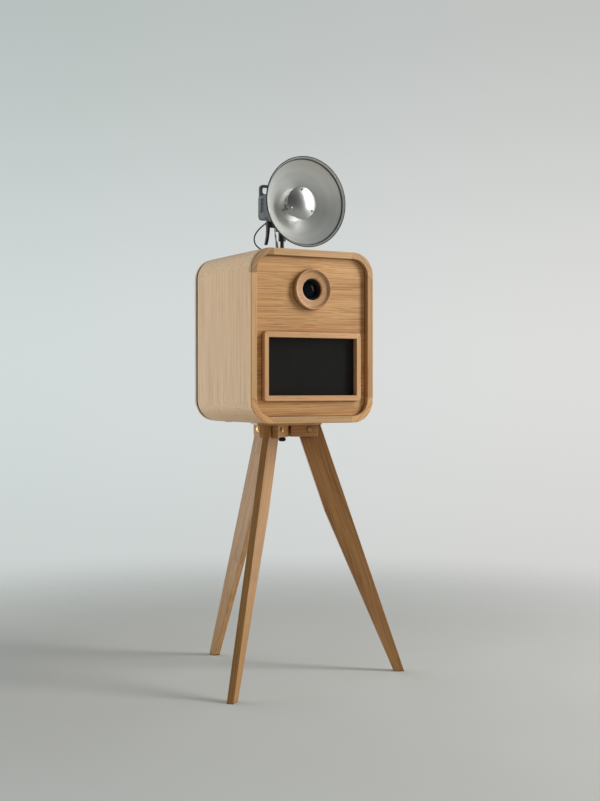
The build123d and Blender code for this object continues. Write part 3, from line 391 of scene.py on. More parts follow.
def makeDetails(finished):
    made = {}
    for name, look in bars.items():
        low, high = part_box(look["on"])
        middle = (low + high) / 2
        ring = look.get("ring", (high.x - low.x) / 2 - look["bar"] * 0.3)
        piece = grown(name, barsTree, {
            "Bars": look["count"], "Ring Radius": ring, "Bar Radius": look["bar"],
            "Bar Length": high.y - low.y - 2 * look["inset"], "Middle": tuple(middle),
            "Turn": (math.pi / 2, 0, 0), "Material": finished[look["slot"]]})
        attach(piece, look["body"])
        made[name] = piece
    dialLow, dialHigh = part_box("power_dial")
    panelLow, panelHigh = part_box("flash_rear_panel")
    ticks = grown("powerDialTicks", barsTree, {
        "Bars": dialTicks["count"], "Ring Radius": dialTicks["ring"], "Bar Radius": dialTicks["bar"],
        "Bar Length": dialTicks["long"], "Bar Tilt": (0, math.pi / 2, 0),
        "Middle": ((dialLow.x + dialHigh.x) / 2, panelHigh.y, (dialLow.z + dialHigh.z) / 2),
        "Turn": (math.pi / 2, 0, 0), "Material": finished["white_plastic"]})
    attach(ticks, "flash")
    wide, tall = (panelHigh.x - panelLow.x) / 2 - 0.0075, (panelHigh.z - panelLow.z) / 2 - 0.0075
    plateLow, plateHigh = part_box("swivel_plate")
    baseLow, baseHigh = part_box("base_plate")
    around = [math.radians(45 + 90 * k) for k in range(4)]
    baseWide = (baseHigh.x - baseLow.x) / 2 - 0.010
    spots = {
        "panelScrews": ([(x * wide, y * tall, 0) for x in (-1, 1) for y in (-1, 1)],
                        ((panelLow.x + panelHigh.x) / 2, panelHigh.y - 0.0001, (panelLow.z + panelHigh.z) / 2),
                        (-math.pi / 2, 0, 0)),
        "plateScrews": ([(0.068 * math.cos(a), 0.068 * math.sin(a), 0) for a in around],
                        (standAxis.x, standAxis.y, plateHigh.z - 0.0001), (0, 0, 0)),
        "baseScrews": ([(x * baseWide, y * baseWide, 0) for x in (-1, 1) for y in (-1, 1)],
                       (standAxis.x, standAxis.y, baseHigh.z - 0.0001), (0, 0, 0)),
    }
    for name, look in screws.items():
        starts, middle, turn = spots[name]
        piece = grown(name, screwTree, {
            "Head Radius": look["head"], "Head Height": look["height"], "Slot Width": look["slotWide"],
            "Middle": middle, "Turn": turn, "Material": finished[look["slot"]]}, starts)
        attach(piece, look["body"])
        made[name] = piece
    shellLow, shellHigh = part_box("flash_housing")
    tallest = panelLow.z + (panelHigh.z - panelLow.z) / 2 - 0.0205
    for name, side in (("ventSlatsLeft", -1), ("ventSlatsRight", 1)):
        x = (panelLow.x + panelHigh.x) / 2 + side * ((panelHigh.x - panelLow.x) / 2 - vents["sunk"])
        piece = grown(name, slatTree, {
            "Slats": vents["slats"], "Step": (0, 0, vents["pitch"]), "Slat Size": vents["size"],
            "Lean": (0, side * vents["lean"], 0), "Middle": (x, shellHigh.y - vents["rear"], tallest),
            "Material": finished["black_plastic"]})
        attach(piece, "flash")
        made[name] = piece
    return made


# shader groups and the materials that use them


def newGroup(name, inputs, outputs):
    group = bpy.data.node_groups.new(name, "ShaderNodeTree")
    for label, kind, value in inputs:
        socket = group.interface.new_socket(label, in_out="INPUT", socket_type="NodeSocket" + kind)
        if value is not None:
            socket.default_value = value
    for label, kind in outputs:
        group.interface.new_socket(label, in_out="OUTPUT", socket_type="NodeSocket" + kind)
    return group, group.nodes.new("NodeGroupInput").outputs, group.nodes.new("NodeGroupOutput").inputs


def node(tree, kind, values=None, **settings):
    return geo(tree, "ShaderNode" + kind, values, **settings)


def math2(tree, operation, a, b=0.0, c=0.0, clamp=False):
    return node(tree, "Math", {0: a, 1: b, 2: c}, operation=operation, use_clamp=clamp).outputs[0]


# brings a span of values to 0 to 1, or to another span, with soft ends
def spread(tree, value, low, high, toLow=0.0, toHigh=1.0):
    return node(tree, "MapRange", {"Value": value, "From Min": low, "From Max": high, "To Min": toLow,
                                   "To Max": toHigh}, interpolation_type="SMOOTHSTEP").outputs[0]


def mixColours(tree, share, a, b, blend="MIX"):
    return node(tree, "Mix", {0: share, 6: a, 7: b}, data_type="RGBA", blend_type=blend).outputs[2]


def stretched(tree, vector, scale):
    return node(tree, "Mapping", {"Vector": vector, "Scale": scale}, vector_type="POINT").outputs[0]


# oak with its fibres along X: staves, slow tone, wandering streaks, pores and fine fibres
def makeGrainGroup():
    group, given, put = newGroup("oakGrain", [
        ("Vector", "Vector", None), ("Pale", "Color", (0.6, 0.4, 0.2, 1)), ("Deep", "Color", (0.4, 0.22, 0.1, 1)),
        ("Streak Width", "Float", 0.006), ("Streaks", "Float", 0.6), ("Wander", "Float", 0.01),
        ("Tone", "Float", 0.4), ("Pores", "Float", 0.4), ("Stave Length", "Float", 10.0),
        ("Stave Width", "Float", 10.0), ("Stave Contrast", "Float", 0.0)],
        [("Color", "Color"), ("Roughness", "Float"), ("Height", "Float")])
    parts = node(group, "SeparateXYZ", {0: given["Vector"]}).outputs
    row = math2(group, "FLOOR", math2(group, "DIVIDE", parts[1], given["Stave Width"]))
    shifted = math2(group, "MULTIPLY_ADD", row, 0.37, math2(group, "DIVIDE", parts[0], given["Stave Length"]))
    cell = node(group, "CombineXYZ", {0: math2(group, "FLOOR", shifted), 1: row}).outputs[0]
    stave = node(group, "TexWhiteNoise", {"Vector": cell}, noise_dimensions="3D").outputs["Value"]
    apart = math2(group, "MULTIPLY", stave, math2(group, "GREATER_THAN", given["Stave Contrast"], 0.001))
    start = node(group, "VectorMath", {0: given["Vector"], 1: node(group, "CombineXYZ", {
        1: apart, 2: apart}).outputs[0]}, operation="ADD").outputs[0]
    slow = node(group, "TexNoise", {"Vector": stretched(group, start, (1.6, 5.0, 5.0)), "Scale": 1.0,
                                    "Detail": 2.0}).outputs["Fac"]
    bend = math2(group, "MULTIPLY", math2(group, "SUBTRACT", slow, 0.5), given["Wander"])
    bent = node(group, "VectorMath", {0: start, 1: node(group, "CombineXYZ", {1: bend, 2: bend}).outputs[0]},
                operation="ADD").outputs[0]
    perMetre = math2(group, "DIVIDE", 1.0, given["Streak Width"])
    across = node(group, "CombineXYZ", {0: 2.6, 1: perMetre, 2: perMetre}).outputs[0]
    streakPlace = node(group, "VectorMath", {0: bent, 1: across}, operation="MULTIPLY").outputs[0]
    streak = node(group, "TexNoise", {"Vector": streakPlace, "Scale": 1.0, "Detail": 4.0,
                                      "Roughness": 0.62}).outputs["Fac"]
    streakMask = spread(group, streak, 0.40, 0.64)
    toneMask = node(group, "TexNoise", {"Vector": stretched(group, bent, (1.1, 18.0, 18.0)), "Scale": 1.0,
                                        "Detail": 3.0}).outputs["Fac"]
    toneMask = spread(group, toneMask, 0.3, 0.7)
    fibre = node(group, "TexNoise", {"Vector": stretched(group, bent, (9.0, 620.0, 620.0)), "Scale": 1.0,
                                     "Detail": 2.0}).outputs["Fac"]
    pore = node(group, "TexNoise", {"Vector": stretched(group, bent, (14.0, 420.0, 420.0)), "Scale": 1.0,
                                    "Detail": 1.0}).outputs["Fac"]
    poreMask = math2(group, "MULTIPLY", spread(group, pore, 0.58, 0.72), spread(group, streak, 0.35, 0.6, 0.35, 1.0))
    share = math2(group, "MULTIPLY", streakMask, given["Streaks"])
    share = math2(group, "MULTIPLY_ADD", toneMask, given["Tone"], share)
    share = math2(group, "MULTIPLY_ADD", math2(group, "SUBTRACT", stave, 0.5), given["Stave Contrast"], share)
    share = math2(group, "MULTIPLY_ADD", math2(group, "SUBTRACT", fibre, 0.5), 0.55, share, clamp=True)
    colour = mixColours(group, share, given["Pale"], given["Deep"])
    poreShare = math2(group, "MULTIPLY", poreMask, given["Pores"])
    group.links.new(mixColours(group, poreShare, colour, (0.16, 0.085, 0.035, 1)), put["Color"])
    rough = math2(group, "MULTIPLY_ADD", streakMask, 0.10, 0.0)
    group.links.new(math2(group, "MULTIPLY_ADD", poreMask, 0.15, rough), put["Roughness"])
    group.links.new(math2(group, "MULTIPLY_ADD", poreMask, -1.0, math2(group, "MULTIPLY", fibre, 0.35)), put["Height"])
    return group


# fine mottling for moulded plastic, rubber and paint
def makeSpeckGroup():
    group, given, put = newGroup("fineSpeck", [
        ("Vector", "Vector", None), ("Size", "Float", 0.0006), ("Clouds", "Float", 0.05)],
        [("Speck", "Float"), ("Cloud", "Float")])
    perMetre = math2(group, "DIVIDE", 1.0, given["Size"])
    speck = node(group, "TexNoise", {"Vector": given["Vector"], "Scale": perMetre, "Detail": 2.0}).outputs["Fac"]
    cloudScale = math2(group, "DIVIDE", 1.0, given["Clouds"])
    cloud = node(group, "TexNoise", {"Vector": given["Vector"], "Scale": cloudScale, "Detail": 3.0}).outputs["Fac"]
    group.links.new(speck, put["Speck"])
    group.links.new(spread(group, cloud, 0.3, 0.7), put["Cloud"])
    return group


# wear and painted highlight where edges stand proud, from the difference between the true and a rounded normal
def makeEdgeWearGlintGroup():
    group, given, put = newGroup("edgeWearGlint", [("Radius", "Float", 0.0015)], [("Wear Glint", "Float")])
    rounded = node(group, "Bevel", {"Radius": given["Radius"]}, samples=4).outputs[0]
    true = node(group, "NewGeometry").outputs["Normal"]
    near = node(group, "VectorMath", {0: rounded, 1: true}, operation="DOT_PRODUCT").outputs["Value"]
    group.links.new(spread(group, near, 0.995, 0.86), put["Wear Glint"])
    return group


# painted shade: where two faces meet in a corner, or a gap is narrow, ambient occlusion darkens the wood as if in
# shade
def makePaintedCreaseShadeGroup():
    group, given, put = newGroup("paintedCreaseShade", [("Reach", "Float", 0.006)], [("Shade", "Float")])
    near = node(group, "AmbientOcclusion", {"Distance": given["Reach"]}, samples=6).outputs["AO"]
    group.links.new(spread(group, near, 0.93, 0.55), put["Shade"])
    return group


# circular turning marks about the line along Y through the origin
def makeRingGroup():
    group, given, put = newGroup("turnedMarks", [("Vector", "Vector", None), ("Pitch", "Float", 0.0006)],
                                 [("Marks", "Float"), ("Wide", "Float"), ("Radius", "Float")])
    parts = node(group, "SeparateXYZ", {0: given["Vector"]}).outputs
    flat = node(group, "CombineXYZ", {0: parts[0], 2: parts[2]}).outputs[0]
    radius = node(group, "VectorMath", {0: flat}, operation="LENGTH").outputs["Value"]
    walk = node(group, "CombineXYZ", {0: radius, 1: parts[1]}).outputs[0]
    perMetre = math2(group, "DIVIDE", 1.0, given["Pitch"])
    marks = node(group, "TexNoise", {"Vector": walk, "Scale": perMetre, "Detail": 2.0}).outputs["Fac"]
    wide = node(group, "TexNoise", {"Vector": walk, "Scale": math2(group, "MULTIPLY", perMetre, 0.06),
                                    "Detail": 2.0}).outputs["Fac"]
    for value, label in ((marks, "Marks"), (wide, "Wide"), (radius, "Radius")):
        group.links.new(value, put[label])
    return group


grainGroup, speckGroup = makeGrainGroup(), makeSpeckGroup()
edgeWearGlintGroup, creaseShadeGroup, ringGroup = makeEdgeWearGlintGroup(), makePaintedCreaseShadeGroup(), makeRingGroup()


def placeGroup(tree, group, values):
    made = tree.nodes.new("ShaderNodeGroup")
    made.node_tree = group
    for key, value in values.items():
        if isinstance(value, bpy.types.NodeSocket):
            tree.links.new(value, made.inputs[key])
        else:
            made.inputs[key].default_value = value
    return made.outputs


# a material whose constant values sit on the shader's own sockets
def newMaterial(name, settings):
    material = bpy.data.materials.new(name)
    material.use_nodes = True
    tree = material.node_tree
    shader = tree.nodes["Principled BSDF"]
    for key, value in settings.items():
        shader.inputs[key].default_value = value
    return material, tree, shader.inputs, tree.nodes.new("ShaderNodeTexCoord").outputs["Object"]


def bumpInto(tree, height, strength, distance):
    return node(tree, "Bump", {"Height": height, "Strength": strength, "Distance": distance}).outputs[0]


# colours are linear; turn is in degrees about X, Y and Z and brings the fibres to the pattern's X axis
oaks = {
    "oakSide": {"pale": (0.700, 0.435, 0.200), "deep": (0.460, 0.250, 0.096), "streakWidth": 0.0021, "streaks": 0.90,
                "wander": 0.002, "tone": 0.15, "pores": 0.25, "turn": (0, 90, 0), "rough": 0.42, "coat": 0.05,
                "revealGapShade": ("sleeve", 1, 1)},
    "oakFront": {"pale": (0.760, 0.430, 0.170), "deep": (0.400, 0.180, 0.055), "streakWidth": 0.0022, "streaks": 0.62,
                 "wander": 0.022, "tone": 0.40, "pores": 0.45, "turn": (0, 1.2, 0), "rough": 0.45, "coat": 0.1},
    "oakRail": {"pale": (0.640, 0.385, 0.175), "deep": (0.440, 0.235, 0.092), "streakWidth": 0.0045, "streaks": 0.5,
                "wander": 0.012, "tone": 0.35, "pores": 0.35, "turn": (0, 0, 0), "rough": 0.42, "coat": 0.1},
    "oakStile": {"pale": (0.700, 0.420, 0.190), "deep": (0.500, 0.275, 0.105), "streakWidth": 0.0045, "streaks": 0.5,
                 "wander": 0.012, "tone": 0.3, "pores": 0.35, "turn": (0, 90, 0), "rough": 0.42, "coat": 0.1},
    "oakStileRight": {"pale": (0.540, 0.300, 0.125), "deep": (0.380, 0.190, 0.068), "streakWidth": 0.0045,
                      "streaks": 0.55, "wander": 0.012, "tone": 0.3, "pores": 0.4, "turn": (0, 90, 0), "rough": 0.42,
                      "coat": 0.1, "creaseShade": 0.1},
    "oakCorner": {"pale": (0.700, 0.420, 0.180), "deep": (0.380, 0.180, 0.065), "streakWidth": 0.004, "streaks": 0.6,
                  "wander": 0.006, "tone": 0.35, "pores": 0.4, "turn": (0, -45, 0), "rough": 0.42, "coat": 0.1,
                  "blockTones": (0.70, 0.86, 1.32, 1.22)},
    "oakRing": {"creaseShade": 0.35, "pale": (0.620, 0.350, 0.165), "deep": (0.400, 0.190, 0.075), "streakWidth": 0.004, "streaks": 0.5,
                "wander": 0.008, "tone": 0.3, "pores": 0.4, "turn": (0, 20, 0), "rough": 0.40, "coat": 0.15},
    "oakBezel": {"creaseShade": 0.5, "pale": (0.740, 0.420, 0.195), "deep": (0.540, 0.270, 0.108), "streakWidth": 0.004, "streaks": 0.5,
                 "wander": 0.008, "tone": 0.3, "pores": 0.4, "turn": (0, 0, 0), "rough": 0.40, "coat": 0.15,
                 "mitre": "display_glass"},
    "oakDoor": {"pale": (0.640, 0.420, 0.220), "deep": (0.480, 0.280, 0.125), "streakWidth": 0.006, "streaks": 0.6,
                "wander": 0.020, "tone": 0.35, "pores": 0.35, "turn": (0, 90, 0), "rough": 0.45, "coat": 0.1,
                "revealGapShade": ("back_door", 0, -1)},
    "oakHead": {"pale": (0.640, 0.335, 0.125), "deep": (0.400, 0.178, 0.058), "streakWidth": 0.005, "streaks": 0.6,
                "wander": 0.010, "tone": 0.35, "pores": 0.4, "turn": (0, 0, 20), "rough": 0.45, "coat": 0.1},
    "shelfPly": {"pale": (0.600, 0.420, 0.240), "deep": (0.480, 0.310, 0.150), "streakWidth": 0.010, "streaks": 0.5,
                 "wander": 0.020, "tone": 0.3, "pores": 0.1, "turn": (0, 0, 0), "rough": 0.6, "coat": 0.0},
    "oakLegBack": {"pale": (0.620, 0.350, 0.145), "deep": (0.360, 0.180, 0.064), "streakWidth": 0.004, "streaks": 0.65,
                   "wander": 0.010, "tone": 0.35, "pores": 0.4, "turn": (0, -71, 0), "rough": 0.42, "coat": 0.1,
                   "staves": (0.42, 0.045, 0.35)},
    # painted shade: the left and right legs take darker copies of the back leg's oak
    "oakLegLeftShaded": {"pale": (0.465, 0.238, 0.070), "deep": (0.290, 0.126, 0.034), "streakWidth": 0.004, "streaks": 0.65,
                   "wander": 0.010, "tone": 0.35, "pores": 0.4, "turn": (0, -71, 0), "rough": 0.42, "coat": 0.1,
                   "staves": (0.42, 0.045, 0.35)},
    "oakLegRightShaded": {"pale": (0.440, 0.220, 0.073), "deep": (0.230, 0.097, 0.028), "streakWidth": 0.0042,
                    "streaks": 0.7, "wander": 0.030, "tone": 0.45, "pores": 0.4, "turn": (0, -71, 0), "rough": 0.42,
                    "coat": 0.1, "staves": (0.50, 0.045, 0.28)},
}


# the four corner blocks mirror each other, and their fibres run across the corner
def mirrorCorners(tree, centred):
    parts = node(tree, "SeparateXYZ", {0: centred}).outputs
    mirrored = node(tree, "CombineXYZ", {0: math2(tree, "ABSOLUTE", parts[0]), 1: parts[1],
                                         2: math2(tree, "ABSOLUTE", parts[2])}).outputs[0]
    side = math2(tree, "MULTIPLY_ADD", math2(tree, "SIGN", parts[0]), 0.31,
                 math2(tree, "MULTIPLY", math2(tree, "SIGN", parts[2]), 0.17))
    return node(tree, "VectorMath", {0: mirrored, 1: node(tree, "CombineXYZ", {1: side}).outputs[0]},
                operation="ADD").outputs[0], parts


# a frame mitred at its corners: upright fibres in its sides, level ones above and below
def mitreTurn(tree, place, inside):
    low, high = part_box(inside)
    middle = (low + high) / 2
    centred = node(tree, "VectorMath", {0: place, 1: tuple(middle)}, operation="SUBTRACT").outputs[0]
    parts = node(tree, "SeparateXYZ", {0: centred}).outputs
    across = math2(tree, "SUBTRACT", math2(tree, "ABSOLUTE", parts[0]), (high.x - low.x) / 2)
    above = math2(tree, "SUBTRACT", math2(tree, "ABSOLUTE", parts[2]), (high.z - low.z) / 2)
    upright = math2(tree, "GREATER_THAN", across, above)
    turned = node(tree, "CombineXYZ", {0: parts[2], 1: parts[1], 2: parts[0]}).outputs[0]
    return node(tree, "Mix", {0: upright, 4: centred, 5: turned}, data_type="VECTOR").outputs[1]


# 1 within a band of a rounded upright outline: the distance in from the outline is less than the band
def nearOutline(tree, place, box, corner, band):
    low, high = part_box(box)
    middle = (low + high) / 2
    parts = node(tree, "SeparateXYZ", {0: place}).outputs
    reach = []
    for part, centre, half in ((parts[0], middle.x, (high.x - low.x) / 2), (parts[2], middle.z, (high.z - low.z) / 2)):
        away = math2(tree, "ABSOLUTE", math2(tree, "SUBTRACT", part, centre))
        reach.append(math2(tree, "MAXIMUM", math2(tree, "SUBTRACT", away, half - corner), 0.0))
    flat = node(tree, "CombineXYZ", {0: reach[0], 1: reach[1]}).outputs[0]
    round = node(tree, "VectorMath", {0: flat}, operation="LENGTH").outputs["Value"]
    return math2(tree, "GREATER_THAN", round, corner - band), parts[1]


def makeOak(name, around=0.0):   # around turns the pattern about Z first, for a leg that leans in its own plane
    look = oaks[name]
    material, tree, shader, place = newMaterial(name, {"Roughness": look["rough"], "Coat Weight": look["coat"],
                                                       "Coat Roughness": 0.25, "IOR": 1.45})
    tone = 1.0
    if "mitre" in look:
        centred = mitreTurn(tree, place, look["mitre"])
    else:
        centred = node(tree, "VectorMath", {0: place, 1: tuple(cabinetMiddle)}, operation="SUBTRACT").outputs[0]
    if "blockTones" in look:
        centred, parts = mirrorCorners(tree, centred)
        topLeft, topRight, lowLeft, lowRight = look["blockTones"]
        right = math2(tree, "GREATER_THAN", parts[0], 0.0)
        upper = math2(tree, "MULTIPLY_ADD", right, topRight - topLeft, topLeft)
        lower = math2(tree, "MULTIPLY_ADD", right, lowRight - lowLeft, lowLeft)
        high = math2(tree, "GREATER_THAN", parts[2], 0.0)
        tone = math2(tree, "MULTIPLY_ADD", high, math2(tree, "SUBTRACT", upper, lower), lower)
    if around:
        centred = node(tree, "Mapping", {"Vector": centred, "Rotation": (0, 0, -around)}).outputs[0]
    along = node(tree, "Mapping", {"Vector": centred, "Rotation": tuple(math.radians(a) for a in look["turn"])})
    staveLength, staveWidth, staveContrast = look.get("staves", (10.0, 10.0, 0.0))
    grain = placeGroup(tree, grainGroup, {
        "Vector": along.outputs[0], "Pale": (*look["pale"], 1), "Deep": (*look["deep"], 1),
        "Streak Width": look["streakWidth"], "Streaks": look["streaks"], "Wander": look["wander"],
        "Tone": look["tone"], "Pores": look["pores"], "Stave Length": staveLength, "Stave Width": staveWidth,
        "Stave Contrast": staveContrast})
    wearGlint = placeGroup(tree, edgeWearGlintGroup, {"Radius": 0.002})["Wear Glint"]
    # wear and painted highlight: edges go towards the pale colour
    wornLitShaded = mixColours(tree, math2(tree, "MULTIPLY", wearGlint, 0.35), grain["Color"], (*look["pale"], 1))
    # painted shade: the wood goes dark brown in corners and narrow gaps, from ambient occlusion
    creaseShade = placeGroup(tree, creaseShadeGroup, {"Reach": look.get("jointReach", 0.006)})["Shade"]
    wornLitShaded = mixColours(tree, math2(tree, "MULTIPLY", creaseShade, look.get("creaseShade", 0.8)), wornLitShaded, (0.050, 0.024, 0.010, 1))
    if "blockTones" in look:
        wornLitShaded = mixColours(tree, 1.0, wornLitShaded, node(tree, "CombineXYZ", {0: tone, 1: tone, 2: tone}).outputs[0],
                          blend="MULTIPLY")
    # painted shade: a near-black band where the back reveal gap lies in shade, on the sleeve's back edge and the
    # door's front face
    if "revealGapShade" in look:
        box, y, side = look["revealGapShade"]
        border, depth = nearOutline(tree, place, box, 0.075, 0.012)
        reached = math2(tree, "GREATER_THAN", math2(tree, "MULTIPLY", depth, side), (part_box(box)[y].y * side) - 0.0008)
        wornLitShaded = mixColours(tree, math2(tree, "MULTIPLY", border, reached), wornLitShaded, (0.012, 0.006, 0.003, 1))
    tree.links.new(wornLitShaded, shader["Base Color"])
    tree.links.new(math2(tree, "ADD", grain["Roughness"], look["rough"]), shader["Roughness"])
    tree.links.new(bumpInto(tree, grain["Height"], 0.35, 0.0003), shader["Normal"])
    return material


def paint(names, material):
    for name in names:
        for slot in nodes[name].material_slots:
            slot.material = material


paint(["sleeve"], makeOak("oakSide"))
paint(["front_panel"], makeOak("oakFront"))
paint(["frame_top_rail", "frame_bottom_rail"], makeOak("oakRail"))
paint(["frame_left_stile"], makeOak("oakStile"))
paint(["frame_right_stile"], makeOak("oakStileRight"))
paint(["frame_corner_blocks"], makeOak("oakCorner"))
paint(["lens_ring"], makeOak("oakRing"))
paint(["screen_bezel"], makeOak("oakBezel"))
paint(["back_door"], makeOak("oakDoor"))
paint(["head_board", "hinge_cheeks"], makeOak("oakHead"))
paint(["camera_shelf"], makeOak("shelfPly"))
for name, oakName in (("leg_back", "oakLegBack"), ("leg_left", "oakLegLeftShaded"), ("leg_right", "oakLegRightShaded")):
    away = boxMiddle(name) - standAxis
    paint([name], makeOak(oakName, math.atan2(away.y, away.x)))
print("oak painted")

finishes = {
    # painted shade: the reveal frame is near-black to stand in for the shade in the back reveal gap
    "dark_frame": {"nodes": ["reveal_frame"], "colour": (0.016, 0.008, 0.004), "rough": 0.7, "metal": 0.0,
                   "mottle": 0.3, "speck": 0.0008, "bump": 0.2, "gloss": 0.08},
    "brass": {"nodes": ["hinge_bolts", "hinge_leaves_cabinet", "hinge_leaves_door"], "colour": (0.80, 0.55, 0.24),
              "rough": 0.28, "metal": 1.0, "mottle": 0.25, "speck": 0.0015, "bump": 0.05},
    "steel": {"nodes": ["base_plate", "display_brackets", "hinge_pins", "catch_magnets"],
              "colour": (0.55, 0.55, 0.54), "rough": 0.32, "metal": 1.0, "mottle": 0.2, "speck": 0.001, "bump": 0.05},
    "black_metal": {"nodes": ["tilt_bracket", "spigot"], "colour": (0.022, 0.022, 0.024), "rough": 0.38, "metal": 0.3,
                    "mottle": 0.3, "speck": 0.0007, "bump": 0.15},
    "black_plastic": {"nodes": ["head_knob", "display_case", "camera_body", "lens_barrel", "shutter_button",
                                "camera_screw", "swivel_plate", "cable_grommet", "clamp_screw", "tilt_lever",
                                "flash_handle", "power_dial", "head_cable_boots"],
                      "colour": (0.020, 0.020, 0.021), "rough": 0.42, "metal": 0.0, "mottle": 0.3, "speck": 0.0006,
                      "bump": 0.25, "gloss": 0.22},
    "flash_paint": {"nodes": ["flash_housing", "flash_rear_panel"], "colour": (0.070, 0.086, 0.100), "rough": 0.48,
                    "metal": 0.0, "mottle": 0.25, "speck": 0.0007, "bump": 0.2, "gloss": 0.35},
    "lens_rubber": {"nodes": ["lens_focus_ring", "lens_zoom_ring"], "colour": (0.016, 0.016, 0.017), "rough": 0.62,
                    "metal": 0.0, "mottle": 0.3, "speck": 0.0005, "bump": 0.2},
    "chrome_plug": {"nodes": ["jack_plug", "deflector_posts"], "colour": (0.42, 0.43, 0.43), "rough": 0.28,
                    "metal": 1.0, "mottle": 0.4, "speck": 0.0008, "bump": 0.05},
    "computer_shell": {"nodes": ["computer_case", "computer_button"], "colour": (0.46, 0.47, 0.48), "rough": 0.38,
                       "metal": 0.6, "mottle": 0.15, "speck": 0.0005, "bump": 0.1},
    "white_plastic": {"nodes": ["power_strip"], "colour": (0.74, 0.73, 0.70), "rough": 0.4, "metal": 0.0,
                      "mottle": 0.1, "speck": 0.0008, "bump": 0.1},
    "inlet_plastic": {"nodes": ["mains_inlet"], "colour": (0.022, 0.022, 0.022), "rough": 0.5, "metal": 0.0,
                      "mottle": 0.2, "speck": 0.0007, "bump": 0.2},
    "rocker_plastic": {"nodes": ["mains_rocker", "power_rocker", "test_button"], "colour": (0.35, 0.035, 0.020),
                       "rough": 0.3, "metal": 0.0, "mottle": 0.15, "speck": 0.0008, "bump": 0.05},
}


def makeFinish(name, look):
    material, tree, shader, place = newMaterial(name + "Finish", {
        "Roughness": look["rough"], "Metallic": look["metal"], "Specular IOR Level": look.get("gloss", 0.5)})
    speck = placeGroup(tree, speckGroup, {"Vector": place, "Size": look["speck"], "Clouds": 0.03})
    wearGlint = placeGroup(tree, edgeWearGlintGroup, {"Radius": 0.0012})["Wear Glint"]
    dark = tuple(c * (1 - look["mottle"]) for c in look["colour"])
    colour = mixColours(tree, speck["Cloud"], (*look["colour"], 1), (*dark, 1))
    # wear and painted highlight: edges go towards a lighter colour
    lit = tuple(min(c * 1.5 + 0.02, 0.9) for c in look["colour"])
    colour = mixColours(tree, math2(tree, "MULTIPLY", wearGlint, 0.5), colour, (*lit, 1))
    tree.links.new(colour, shader["Base Color"])
    rough = math2(tree, "MULTIPLY_ADD", speck["Cloud"], 0.12, look["rough"])
    tree.links.new(math2(tree, "MULTIPLY_ADD", speck["Speck"], 0.06, rough), shader["Roughness"])
    tree.links.new(bumpInto(tree, speck["Speck"], look["bump"], 0.0001), shader["Normal"])
    return material


finished = {}
for name, look in finishes.items():
    finished[name] = makeFinish(name, look)
    paint(look["nodes"], finished[name])
details = makeDetails(finished)
print("ribs, screws, ticks and slats grown")

leadRubber, tree, shader, place = newMaterial("leadRubber", {"Roughness": 0.5})
wrap = node(tree, "UVMap", uv_map="wrap").outputs[0]
speck = placeGroup(tree, speckGroup, {"Vector": stretched(tree, wrap, (0.01, 1.0, 1.0)), "Size": 0.0008,
                                      "Clouds": 0.02})
tree.links.new(mixColours(tree, speck["Cloud"], (0.018, 0.018, 0.019, 1), (0.010, 0.010, 0.011, 1)),
               shader["Base Color"])
tree.links.new(math2(tree, "MULTIPLY_ADD", speck["Speck"], 0.15, 0.42), shader["Roughness"])
tree.links.new(bumpInto(tree, speck["Speck"], 0.2, 0.0001), shader["Normal"])
for piece in leadPieces:
    piece.data.materials.append(leadRubber)

spunMetals = {
    "dishMetal": {"pale": (0.90, 0.91, 0.89), "deep": (0.74, 0.75, 0.73), "pitch": 0.0009, "rough": 0.56,
                  "marks": 0.16, "along": 0.35, "edge": (0.1472, 0.1482), "groove": 0.1424,
                  "rimShadeColour": (0.035, 0.037, 0.036)},
    "deflectorMetal": {"pale": (0.45, 0.45, 0.44), "deep": (0.38, 0.39, 0.38), "pitch": 0.0007, "rough": 0.30,
                       "marks": 0.10, "along": 0.0, "edge": (0.0525, 0.0545), "rimShadeColour": (0.40, 0.41, 0.40)},
}


def makeSpunMetal(name):
    look = spunMetals[name]
    material, tree, shader, place = newMaterial(name, {"Metallic": 1.0, "Roughness": look["rough"],
                                                       "Anisotropic": look["along"]})
    centred = node(tree, "VectorMath", {0: place, 1: (dishMiddle.x, 0, dishMiddle.z)}, operation="SUBTRACT").outputs[0]
    marks = placeGroup(tree, ringGroup, {"Vector": centred, "Pitch": look["pitch"]})
    colour = mixColours(tree, marks["Wide"], (*look["pale"], 1), (*look["deep"], 1))
    # painted shade: the rim bead, and on the dish the ring at the crease, go dark as if in shadow
    edge = spread(tree, marks["Radius"], *look["edge"])
    if "groove" in look:
        off = math2(tree, "ABSOLUTE", math2(tree, "SUBTRACT", marks["Radius"], look["groove"]))
        edge = math2(tree, "MAXIMUM", edge, spread(tree, off, 0.0024, 0.0010, 0.0, 0.93))
    tree.links.new(mixColours(tree, edge, colour, (*look["rimShadeColour"], 1)), shader["Base Color"])
    tree.links.new(math2(tree, "MULTIPLY_ADD", marks["Marks"], look["marks"], look["rough"] - look["marks"] / 2),
                   shader["Roughness"])
    tree.links.new(bumpInto(tree, marks["Marks"], 0.10, 0.0001), shader["Normal"])
    if look["along"]:
        tree.links.new(node(tree, "Tangent", direction_type="RADIAL", axis="Y").outputs[0], shader["Tangent"])
    return material


dishBowl.data.materials.append(makeSpunMetal("dishMetal"))
deflectorDome.data.materials.append(makeSpunMetal("deflectorMetal"))

